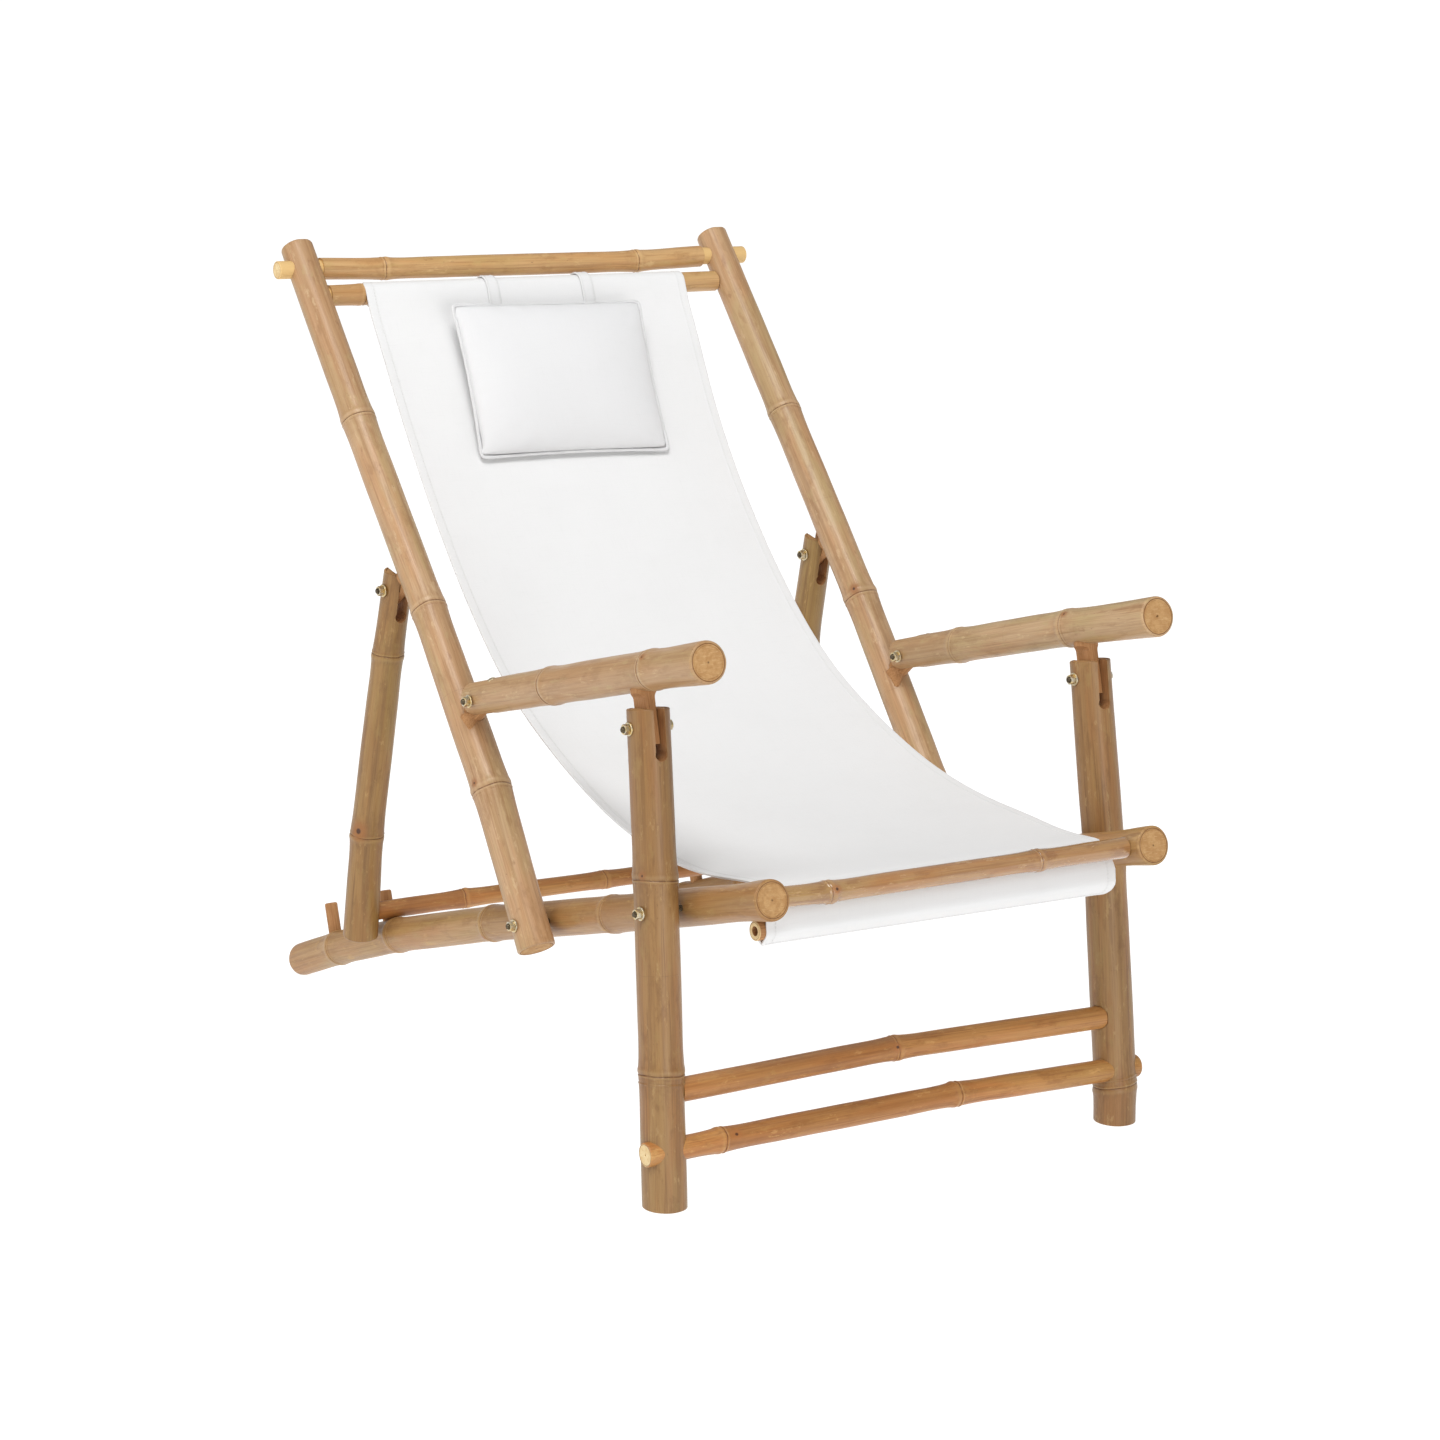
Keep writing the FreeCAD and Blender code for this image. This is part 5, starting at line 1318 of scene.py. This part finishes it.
R_H, R_C = 9.3 + 1.6, 11.2 + 1.7
low = [on(hd, R_H, a) for a in (62, 40, 15, -10, -35, -58)] + [(-429.3, 265.4), (-430.6, 264.4), (-432.2, 265.6)]
low = [(-416.0, 311.8), (-420.6, 302.0)] + low + [on(hd, R_H, a) for a in (-135, -160, -180, -200)]
low += [(-438.2, 296.0), (-433.2, 305.0), (-426.2, 312.6), (-416.0, 316.6), (-402.0, 316.4), (-375.0, 314.4)]
high = [(371.6 - 9.5, 778.4 - 16.0)] + [on(cb, R_C, a) for a in (158, 138, 118, 98, 78, 58, 38, 18, 0, -18, -36, -56, -76)]
high += [(371.4, 758.6), (360.6, 748.0), (351.4, 737.0), (344.4, 728.0)]
PATH = spline(low + FACE + high, 6.0)
seg = np.linalg.norm(np.diff(PATH, axis=0), axis=1)
keep = np.concatenate([[True], seg > 0.35])
PATH = PATH[keep]
SV = np.concatenate([[0], np.cumsum(np.linalg.norm(np.diff(PATH, axis=0), axis=1))])


def path_normal(path):
    t = np.gradient(path, axis=0)
    t = t / np.linalg.norm(t, axis=1)[:, None]
    return t, np.stack([-t[:, 1], t[:, 0]], 1)


PT, PN = path_normal(PATH)     # PN points to the sitter's side along the seat and back
# where the sheet lies free between its two bars
I0 = int(np.argmin(np.abs(PATH[:, 0] + 402.0) + np.where(PATH[:, 1] > 314, 0, 99)))
I1 = int(np.argmin(np.linalg.norm(PATH - A(362.1, 762.4), axis=1)))
X_NEAR, X_FAR = -202.0, 191.0


def edge_x(i):
    """Sheet's edges at row i: it is a little wider at the bottom hem."""
    y, z = PATH[i]
    w = float(np.clip((299.5 - z) / 8.0, 0, 1)) if y < -380.0 else 0.0
    w = w * w * (3 - 2 * w)
    up_w = float(np.clip((I0 + 8 - i) / 16.0, 0, 1))
    pull = math.exp(-((y + 80.0) / 170.0) ** 2)
    top_w = math.exp(-((z - 790.0) / 130.0) ** 2) if y > 100.0 else 0.0
    flap = 9.0 * float(np.clip((SV[i] - SV[I1] - 32.0) / 22.0, 0, 1))
    corner = 5.0 * float(np.clip((270.5 - z) / 6.0, 0, 1)) ** 2
    return (X_NEAR - 12.5 * w + 2.2 * pull + 0.3 * corner - 5.0 * top_w + flap,
            X_FAR + 8.0 * up_w * (1 - w) + 10.0 * w - 2.2 * pull - corner * w + 8.0 * top_w)


def lift(i, x):
    """The seat hangs lower at the near edge than at the far one; shallow pull lines run from the bars."""
    if i <= I0 or i >= I1:
        w = 0.0
    else:
        a, b = SV[i] - SV[I0], SV[I1] - SV[i]
        w = (1 - math.exp(-(a / 75.0) ** 2)) * (1 - math.exp(-(b / 210.0) ** 2))
        w *= 1.0 / (1.0 + math.exp((PATH[i, 0] - 60.0) / 90.0))
    q = x / 198.0
    return w * (9.5 * q - 1.6 * (1 - q * q)) + (0.0 if w == 0 else 0.45 * math.sin(x / 41.0 + SV[i] / 160.0) * w)


HEMW, TH = 11.0, 1.1
U = [0.0, 0.5, 1.6, 3.5, 6.0, 8.4, 9.3, 10.2, 10.9, 11.3, 12.4, 15.0]
half = (X_FAR - X_NEAR) / 2.0
ncol = 46
inner = list(np.linspace(20.0, half * 2 - 20.0, ncol))
COLS = U + inner + [2 * half - u for u in U[::-1]]
COLS = np.array(COLS)
rows, cols = len(PATH), len(COLS)
top = np.zeros((rows, cols, 3))
bot = np.zeros((rows, cols, 3))
cvt = np.zeros((rows, cols, 3))
for i in range(rows):
    xa, xb = edge_x(i)
    xs = xa + COLS / (2 * half) * (xb - xa)
    d_edge = np.minimum(COLS, 2 * half - COLS)
    inhem = np.clip((HEMW + 0.2 - d_edge) / 0.9, 0, 1)
    thick = TH + 1.0 * inhem
    # the fold is rounded; the stitch row presses a shallow groove
    thick = thick * np.where(d_edge < 0.4, 0.55, 1.0)
    groove = 0.28 * np.exp(-((d_edge - 9.3) / 0.8) ** 2)
    y = np.array([PATH[i, 0] + PN[i, 0] * lift(i, x) for x in xs])
    z = np.array([PATH[i, 1] + PN[i, 1] * lift(i, x) for x in xs])
    up_ = 0.28 * inhem - groove
    edge_in = np.where(d_edge < 0.4, 0.4, 0.0)
    top[i, :, 0] = xs
    top[i, :, 1] = y + PN[i, 0] * (up_ - edge_in)
    top[i, :, 2] = z + PN[i, 1] * (up_ - edge_in)
    bot[i, :, 0] = xs
    bot[i, :, 1] = y - PN[i, 0] * (thick + 0.0)
    bot[i, :, 2] = z - PN[i, 1] * (thick + 0.0)
    cvt[i, :, 0] = xs
    cvt[i, :, 1] = SV[i]
    # third value: painted shade on the hem and in its stitch row's groove
    cvt[i, :, 2] = np.clip(0.25 * inhem + 1.0 * np.exp(-((d_edge - 9.3) / 0.9) ** 2), 0, 1)
# inside the sleeves the sheet's inner face is the lower side of the normal everywhere, so one offset serves
N = rows * cols
V = np.concatenate([top.reshape(-1, 3), bot.reshape(-1, 3)])
F = []
for i in range(rows - 1):
    for j in range(cols - 1):
        a = i * cols + j
        F.append((a, a + 1, a + cols + 1, a + cols))
        F.append((N + a, N + a + cols, N + a + cols + 1, N + a + 1))
for i in range(rows - 1):
    a, b = i * cols, i * cols + cols - 1
    F.append((a, a + cols, N + a + cols, N + a))
    F.append((b, N + b, N + b + cols, b + cols))
for j in range(cols - 1):
    a, b = j, (rows - 1) * cols + j
    F.append((a, N + a, N + a + 1, a + 1))
    F.append((b, b + 1, N + b + 1, N + b))
sling = mesh_obj("canvas_sling", V, F, [CANVAS], sharp=50)
put_attr(sling.data, "cv", "FLOAT_VECTOR", np.concatenate([cvt.reshape(-1, 3), cvt.reshape(-1, 3)]))


def surf(sv, d_from_near, out=0.0):
    """Point on the sheet's outer face at path length sv and distance from its near edge."""
    i = int(np.clip(np.searchsorted(SV, sv), 1, rows - 1))
    w = (sv - SV[i - 1]) / max(1e-6, SV[i] - SV[i - 1])
    p = []
    for k in (i - 1, i):
        q = np.array([np.interp(d_from_near, COLS, top[k, :, c]) for c in range(3)])
        p.append(q + A(0, PN[k, 0], PN[k, 1]) * out)
    return p[0] * (1 - w) + p[1] * w


def stitch(p, q, r=0.42, sag=0.12, nrm=None):
    """One stitch of thread from p to q, sunk at both ends."""
    d = q - p
    L = np.linalg.norm(d)
    d = d / L
    s = unit(np.cross(d, nrm))
    n = unit(np.cross(s, d))
    V, F = [], []
    secs = [(0.0, 0.25, -0.35), (0.12, 0.85, 0.0), (0.5, 1.0, 0.14), (0.88, 0.85, 0.0), (1.0, 0.25, -0.35)]
    for (t, k, h) in secs:
        c = p + d * L * t + n * h
        for a in range(6):
            an = TAU * a / 6
            V.append(c + s * r * k * math.cos(an) + n * r * 0.8 * k * math.sin(an))
    for j in range(len(secs) - 1):
        for a in range(6):
            b = (a + 1) % 6
            F.append((j * 6 + a, j * 6 + b, (j + 1) * 6 + b, (j + 1) * 6 + a))
    F.append(tuple(range(6))[::-1])
    F.append(tuple(range(len(secs) * 6 - 6, len(secs) * 6)))
    return V, F


def stitch_rows(name, lines, mat=None):
    """lines: [(list of (point, normal)) ...] evenly spaced points; a stitch spans most of each step."""
    parts = []
    for pts in lines:
        for k in range(len(pts) - 1):
            (p, n1), (q, n2) = pts[k], pts[k + 1]
            g = (q - p) * 0.09
            V, F = stitch(p + g, q - g, nrm=unit(n1 + n2))
            parts.append((V, F, 0))
    v, f, m = join_parts(parts)
    ob = mesh_obj(name, v, f, [mat or STITCH], m, sharp=60)
    co = verts_of(ob.data)
    put_attr(ob.data, "cv", "FLOAT_VECTOR", np.stack([co[:, 0] * 3, co[:, 1] + co[:, 2], np.zeros(len(co))], 1))
    return ob


def norm_at(sv):
    i = int(np.clip(np.searchsorted(SV, sv), 0, rows - 1))
    return A(0, PN[i, 0], PN[i, 1])


STEP = 3.6
lines = []
s_a, s_b = SV[I0] - 60.0, SV[I1] - 2.0
for e in (9.3, 2 * half - 9.3):
    ks = np.arange(SV[2] + 1.0, SV[-3], STEP)
    lines.append([(surf(s, e, 0.12), norm_at(s)) for s in ks])
# row across: under the dowel (both layers)
s_lip = SV[int(np.argmin(np.linalg.norm(PATH - A(-433.6, 268.6), axis=1)))]
s_fold = SV[int(np.argmin(PATH[:60, 1]))]
s_up = SV[int(np.argmin(np.linalg.norm(PATH - A(-436.4, 299.6), axis=1)))]
s_top = SV[int(np.argmin(np.linalg.norm(PATH[:-20] - A(352.5, 746.5), axis=1)))]
for s, inset in ((s_fold + 3.2, 2.5),):
    es = np.arange(inset, 2 * half - inset, STEP)
    lines.append([(surf(s, e, 0.12), norm_at(s)) for e in es])
seams = stitch_rows("canvas_stitching", lines)
for ob in (sling, seams):
    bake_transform(ob)
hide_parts("sling_seat_section", "sling_back_section")


# ------------------------------------------------------------------ pillow
# its own axes: px across, pt up the back, pn towards the sitter; o is the middle of its rear face
pt = unit(A(0, 335.0 - 245.0, 720.0 - 590.5))
pn = A(0, -pt[2], pt[1])
o = A(-6.7, 307.5, 680.8)
PW, PH, TURN = 237.6, 172.6, -0.019


def back_face(x, v):
    """Height of the canvas above the pillow's base plane, v mm up from the pillow's middle."""
    p = o + pt * v
    d = np.linalg.norm(PATH[I0:I1] - p[1:], axis=1)
    j = int(np.argmin(d)) + I0
    return float((PATH[j] - p[1:]) @ pn[1:]) + 0.35


VS = np.linspace(-PH / 2 - 12, PH / 2 + 12, 60)
BF = np.array([back_face(0, v) for v in VS])


def floor_at(v):
    return np.interp(v, VS, BF)


def seam_h(y):
    """The case's seam lies on the canvas at the bottom and stands off it at the top."""
    return 16.0 + 13.0 * np.clip(np.asarray(y, float) / (PH / 2), -1, 1)


def outline(u, v):
    """Pulls the sides in between the corners; u, v in -1..1."""
    x = u * PW / 2 * (1 - 0.030 * (1 - v * v) * abs(u) ** 3)
    y = v * PH / 2 * (1 - 0.034 * (1 - u * u) * abs(v) ** 3)
    return x, y


def case(nu, nv, crown):
    """Two faces of the case meeting in a seam; returns top and bottom grids (x, up, out)."""
    us, vs = np.linspace(-1, 1, nu), np.linspace(-1, 1, nv)
    T, B = np.zeros((nv, nu, 3)), np.zeros((nv, nu, 3))
    for j, v in enumerate(vs):
        for i, u in enumerate(us):
            x, y = outline(u, v)
            e = (1 - abs(u) ** 5.0) * (1 - abs(v) ** 5.0)
            e = max(e, 0.0) ** 0.5
            h = crown * e * (0.80 + 0.20 * (1 - u * u) * (1 - v * v))
            full = float(seam_h(y))
            T[j, i] = (x, y, full + h)
            B[j, i] = (x, y, full - (full + 2.0) * e)
    return us, vs, T, B


def build_case(nu, nv, crown):
    us, vs, T, B = case(nu, nv, crown)
    V = T.reshape(-1, 3).tolist()
    idx = -np.ones((nv, nu), int)
    for j in range(nv):
        for i in range(nu):
            if i in (0, nu - 1) or j in (0, nv - 1):
                idx[j, i] = j * nu + i
            else:
                idx[j, i] = len(V)
                V.append(B[j, i].tolist())
    F = []
    for j in range(nv - 1):
        for i in range(nu - 1):
            a = j * nu + i
            F.append((a, a + 1, a + nu + 1, a + nu))
            F.append((idx[j, i], idx[j + 1, i], idx[j + 1, i + 1], idx[j, i + 1]))
    return np.array(V), F


def to_chair(P):
    P = np.asarray(P, float)
    c, s = math.cos(TURN), math.sin(TURN)
    return o + (P[:, :1] * c - P[:, 1:2] * s) * A(1, 0, 0) + (P[:, :1] * s + P[:, 1:2] * c) * pt + P[:, 2:3] * pn


pv, pf = build_case(61, 49, 20.0)
pil = mesh_obj("pillow_case", pv, pf, [PILLOW_M])
# closed case, blown up a little as by its stuffing
rm = pil.modifiers.new("remesh", "REMESH")
rm.mode = "VOXEL"
rm.voxel_size = 0.0045
dg = bpy.context.evaluated_depsgraph_get()
me = bpy.data.meshes.new_from_object(pil.evaluated_get(dg))
pil.modifiers.clear()
pil.data = me
start = verts_of(me)
# pins along the seam
vg = pil.vertex_groups.new(name="seam")
for i, p in enumerate(start):
    u, v = p[0] / (PW / 2), p[1] / (PH / 2)
    ed = max(abs(u), abs(v))
    if ed > 0.965:
        vg.add([i], 1.0, "REPLACE")
    elif ed > 0.93:
        vg.add([i], (ed - 0.93) / 0.035 * 0.6, "REPLACE")
cl = pil.modifiers.new("cloth", "CLOTH")
st = cl.settings
st.quality = 5
st.mass = 0.25
st.tension_stiffness = 12.0
st.compression_stiffness = 12.0
st.shear_stiffness = 6.0
st.bending_stiffness = 0.35
st.use_pressure = True
st.uniform_pressure_force = 3.5
st.effector_weights.gravity = 0.0
st.vertex_group_mass = "seam"
cl.collision_settings.use_collision = False
cl.collision_settings.use_self_collision = False
SC.frame_start, SC.frame_end = 1, 20
for fno in range(1, 21):
    SC.frame_set(fno)
dg = bpy.context.evaluated_depsgraph_get()
me2 = bpy.data.meshes.new_from_object(pil.evaluated_get(dg))
co = verts_of(me2)
pil.modifiers.clear()
pil.vertex_groups.clear()
SC.frame_set(1)
if len(co) == len(start) and np.isfinite(co).all():
    mv = co - start
    ln = np.linalg.norm(mv, axis=1)
    cap = 7.0
    co = start + mv * np.minimum(1.0, cap / np.maximum(ln, 1e-6))[:, None]
else:
    co = start
pil.data = me2
me2.vertices.foreach_set("co", (co * MM).astype(np.float32).ravel())
me2.update()
sm = pil.modifiers.new("smooth", "SMOOTH")
sm.factor, sm.iterations = 0.5, 3
sub = pil.modifiers.new("sub", "SUBSURF")
sub.levels = 1
sub.render_levels = 1
dg = bpy.context.evaluated_depsgraph_get()
me3 = bpy.data.meshes.new_from_object(pil.evaluated_get(dg))
pil.modifiers.clear()
pil.data = me3
co = verts_of(pil.data)
# soft creases that run in from the seam, deeper at the corners
u, v = co[:, 0] / (PW / 2), co[:, 1] / (PH / 2)
ed = np.maximum(np.abs(u), np.abs(v))
ang = np.arctan2(v, u)
front = np.clip((co[:, 2] - seam_h(co[:, 1])) / 12.0, 0, 1)
cre = np.exp(-((1 - ed) / 0.16) ** 2) * (0.8 * np.sin(17 * ang + 2.0 * np.sin(3 * ang)) + 0.5 * np.sin(29 * ang + 1.0))
cor = np.exp(-((1 - np.abs(u)) ** 2 + (1 - np.abs(v)) ** 2) / 0.05)
co[:, 2] += front * (cre * 0.75 - 2.6 * cor * (0.5 + 0.5 * np.cos(9.0 * (np.abs(u) - np.abs(v)))))
co[:, 2] += front * (1.1 * np.sin(u * 2.4 + 0.8) * np.sin(v * 2.0 + 0.5) + 0.5 * np.sin(5 * u + 2 * v))
# the rear lies on the canvas
fl = floor_at(co[:, 1])
co[:, 2] = np.where(co[:, 2] < fl + 0.4, fl + 0.4 + 0.0 * co[:, 2], co[:, 2])
pil.data.vertices.foreach_set("co", (to_chair(co) * MM).astype(np.float32).ravel())
pil.data.update()
for k in range(len(pil.data.materials)):
    pil.data.materials[k] = PILLOW_M
if not pil.data.materials:
    pil.data.materials.append(PILLOW_M)
pil.data.shade_smooth()
# third value: painted shade along the case's seam
put_attr(pil.data, "cv", "FLOAT_VECTOR",
         np.stack([co[:, 0] + 0.6 * co[:, 2], co[:, 1] - 0.35 * co[:, 2], 0.8 * np.exp(-((1 - ed) / 0.03) ** 2)], 1))

# the seam: a flat felled lip round the case and its row of stitches
def rim_point(t, out):
    """t in 0..4 round the case, out mm beyond its edge."""
    k = int(t) % 4
    w = (t - int(t)) * 2 - 1
    u, v = ((w, -1), (1, w), (-w, 1), (-1, -w))[k]
    x, y = outline(u, v)
    n = A(*((0, -1), (1, 0), (0, 1), (-1, 0))[k], 0)
    return A(x, y, float(seam_h(y)) + 0.6) + n * out


NR = 260
cornr = 5.0
ring = []
for k in range(NR):
    t = 4.0 * k / NR
    ring.append(rim_point(t, 0.0))
ring = np.array(ring)
# round the corners off
for _ in range(6):
    ring = 0.5 * ring + 0.25 * (np.roll(ring, 1, 0) + np.roll(ring, -1, 0))
tn = np.roll(ring, -1, 0) - np.roll(ring, 1, 0)
tn = tn / np.linalg.norm(tn, axis=1)[:, None]
nout = np.stack([tn[:, 1], -tn[:, 0], np.zeros(NR)], 1)
prof = [(-3.0, 0.1), (-1.4, 0.75), (0.0, 0.8), (1.1, 0.55), (1.4, 0.0), (1.1, -0.55), (0.0, -0.7), (-1.2, -0.7)]
V, F = [], []
for k in range(NR):
    wv = 0.35 * math.sin(k * 0.9) + 0.25 * math.sin(k * 0.37 + 1)
    for (a, h) in prof:
        V.append(ring[k] + nout[k] * a + A(0, 0, h + wv * 0.5))
m = len(prof)
for k in range(NR):
    for j in range(m):
        F.append((k * m + j, k * m + (j + 1) % m, ((k + 1) % NR) * m + (j + 1) % m, ((k + 1) % NR) * m + j))
V = np.array(V)
V[:, 2] = np.maximum(V[:, 2], floor_at(V[:, 1]) + 0.3)
lip = mesh_obj("pillow_seam", to_chair(V), F, [PILLOW_M])
# third value: painted shade over the whole seam lip
put_attr(lip.data, "cv", "FLOAT_VECTOR", np.stack([V[:, 0] + 0.6 * V[:, 2], V[:, 1], 0.9 * np.ones(len(V))], 1))
dist = np.concatenate([[0], np.cumsum(np.linalg.norm(np.diff(np.concatenate([ring, ring[:1]]), axis=0), axis=1))])
ks = np.arange(0, dist[-1], 3.4)
rr = np.concatenate([ring, ring[:1]])
nn = np.concatenate([nout, nout[:1]])
pts = []
for s in ks:
    p = np.array([np.interp(s, dist, rr[:, c]) for c in range(3)])
    q = np.array([np.interp(s, dist, nn[:, c]) for c in range(3)])
    pts.append((to_chair([p - q * 0.2 + A(0, 0, 0.95)])[0], pn))
seam2 = stitch_rows("pillow_stitching", [pts])
for ob in (pil, lip, seam2):
    place(ob, "back_frame", "pillow_cotton")
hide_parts("pillow")

# ------------------------------------------------------------------ pillow straps
def on_face(z, out):
    """Point on the canvas's front face at height z, out mm in front of it."""
    j = I0 + int(np.argmin(np.abs(PATH[I0:I1 + 1, 1] - z) + np.where(PATH[I0:I1 + 1, 0] > 200, 0, 999)))
    return (PATH[j, 0] + PN[j, 0] * out, PATH[j, 1] + PN[j, 1] * out)


STRAP = [on_face(z_, 1.9) for z_ in (736.0, 744.0, 752.0, 760.0)]
STRAP += [on(cb, 14.9 + 0.5, a) for a in (150, 134, 116, 98, 80, 62, 44, 26, 8, -10, -28, -46, -66)]
STRAP += [(374.6, 757.4), (362.8, 745.4), (353.6, 734.4), (346.4, 725.4), (338.6, 715.4)]
SP = spline(STRAP, 3.0)
_, SN = path_normal(SP)
SL = np.concatenate([[0], np.cumsum(np.linalg.norm(np.diff(SP, axis=0), axis=1))])
parts, cvs, lines = [], [], []
sec = [(-7.6, 0.45), (-7.3, 0.08), (-6.6, 0.0), (-3.4, -0.12), (0, -0.15), (3.4, -0.12), (6.6, 0.0), (7.3, 0.08), (7.6, 0.45),
       (7.6, 1.15), (7.2, 1.5), (3.4, 1.6), (-3.4, 1.6), (-7.2, 1.5), (-7.6, 1.15)]
for xs in (-52.0, 68.0):
    V, F = [], []
    for i in range(len(SP)):
        sway = 0.5 * math.sin(SL[i] / 19.0 + xs)
        for (a, d) in sec:
            V.append((xs + a + sway, SP[i, 0] - SN[i, 0] * d, SP[i, 1] - SN[i, 1] * d))
            # third value: painted shadow along the strap's edges
            cvs.append((xs + a, SL[i], 0.6 if abs(a) > 6.4 else 0.0))
    m = len(sec)
    for i in range(len(SP) - 1):
        for j in range(m):
            F.append((i * m + j, (i + 1) * m + j, (i + 1) * m + (j + 1) % m, i * m + (j + 1) % m))
    F.append(tuple(range(m)))
    F.append(tuple(range((len(SP) - 1) * m, len(SP) * m))[::-1])
    parts.append((V, F, 0))
    for e in (-5.6, 5.6):
        ks = np.arange(1.0, SL[-1] - 1.0, 3.2)
        line = []
        for s in ks:
            i = int(np.clip(np.searchsorted(SL, s), 1, len(SP) - 1))
            w = (s - SL[i - 1]) / (SL[i] - SL[i - 1])
            p = SP[i - 1] * (1 - w) + SP[i] * w
            n = SN[i - 1] * (1 - w) + SN[i] * w
            line.append((A(xs + e + 0.5 * math.sin(s / 19.0 + xs), p[0] + n[0] * 0.3, p[1] + n[1] * 0.3), A(0, n[0], n[1])))
        lines.append(line)
v, f, m = join_parts(parts)
ob = mesh_obj("pillow_strap_webbing", v, f, [WEB], m, sharp=50)
put_attr(ob.data, "cv", "FLOAT_VECTOR", cvs)
place(ob, "back_frame", "white_webbing", "pillow_straps")
place(stitch_rows("pillow_strap_stitching", lines), "back_frame", "white_webbing")

# ------------------------------------------------------------------ floor, light, camera
def plain_floor():
    t = Mat("floor_white")
    p = t.n("ShaderNodeNewGeometry").outputs["Position"]
    n = t.noise(t.vmul(p, (3.0, 3.0, 3.0)), 1.0, 2.0, 0.5)
    b = t.n("ShaderNodeBsdfPrincipled")
    t.put(b.inputs["Base Color"], t.mix(n, (0.30, 0.30, 0.30), (0.31, 0.31, 0.31)))
    b.inputs["Roughness"].default_value = 0.9
    b.inputs["Specular IOR Level"].default_value = 0.1
    b.inputs["Emission Color"].default_value = (1, 1, 1, 1)
    b.inputs["Emission Strength"].default_value = 0.93
    out = t.n("ShaderNodeOutputMaterial")
    t.nt.links.new(b.outputs[0], out.inputs[0])
    return t.m


me = bpy.data.meshes.new("studio_floor")
me.from_pydata([(-90, -90, -0.0004), (90, -90, -0.0004), (90, 90, -0.0004), (-90, 90, -0.0004)], [], [(0, 1, 2, 3)])
me.materials.append(plain_floor())
floor = bpy.data.objects.new("studio_floor", me)
SC.collection.objects.link(floor)

world = bpy.data.worlds.new("studio")
SC.world = world
world.use_nodes = True
bg = world.node_tree.nodes["Background"]
bg.inputs[0].default_value = (1.0, 1.0, 1.0, 1.0)
bg.inputs[1].default_value = WORLD_STRENGTH


def area(name, pos, target, size, power, color=(1, 1, 1), size_y=None):
    l = bpy.data.lights.new(name, "AREA")
    l.energy = power
    l.color = color
    l.size = size
    if size_y:
        l.shape = "RECTANGLE"
        l.size_y = size_y
    ob = bpy.data.objects.new(name, l)
    SC.collection.objects.link(ob)
    ob.location = Vector(pos)
    ob.rotation_euler = (Vector(target) - Vector(pos)).to_track_quat("-Z", "Y").to_euler()
    return ob


for args in LIGHTS:
    area(*args)

SC.view_settings.view_transform = "Standard"
SC.view_settings.look = "None"
SC.view_settings.exposure = 0.0
SC.view_settings.gamma = 1.0

az, el, roll = (math.radians(a) for a in (-33.783, 12.840, 2.042))
back = Vector((math.sin(az) * math.cos(el), -math.cos(az) * math.cos(el), math.sin(el)))
fwd = -back
right = fwd.cross(Vector((0, 0, 1))).normalized()
upv = right.cross(fwd)
r2 = right * math.cos(roll) + upv * math.sin(roll)
u2 = upv * math.cos(roll) - right * math.sin(roll)
cam_data = bpy.data.cameras.new("camera")
cam = bpy.data.objects.new("camera", cam_data)
SC.collection.objects.link(cam)
m4 = Matrix.Identity(4)
for i in range(3):
    m4[i][0], m4[i][1], m4[i][2] = r2[i], u2[i], back[i]
m4[0][3], m4[1][3], m4[2][3] = -2.16443, -3.26468, 1.26267
cam.matrix_world = m4
cam_data.sensor_width = 36.0
cam_data.lens = 36.0 * 3841.96 / 1440.0
cam_data.clip_start, cam_data.clip_end = 0.05, 300.0
SC.camera = cam
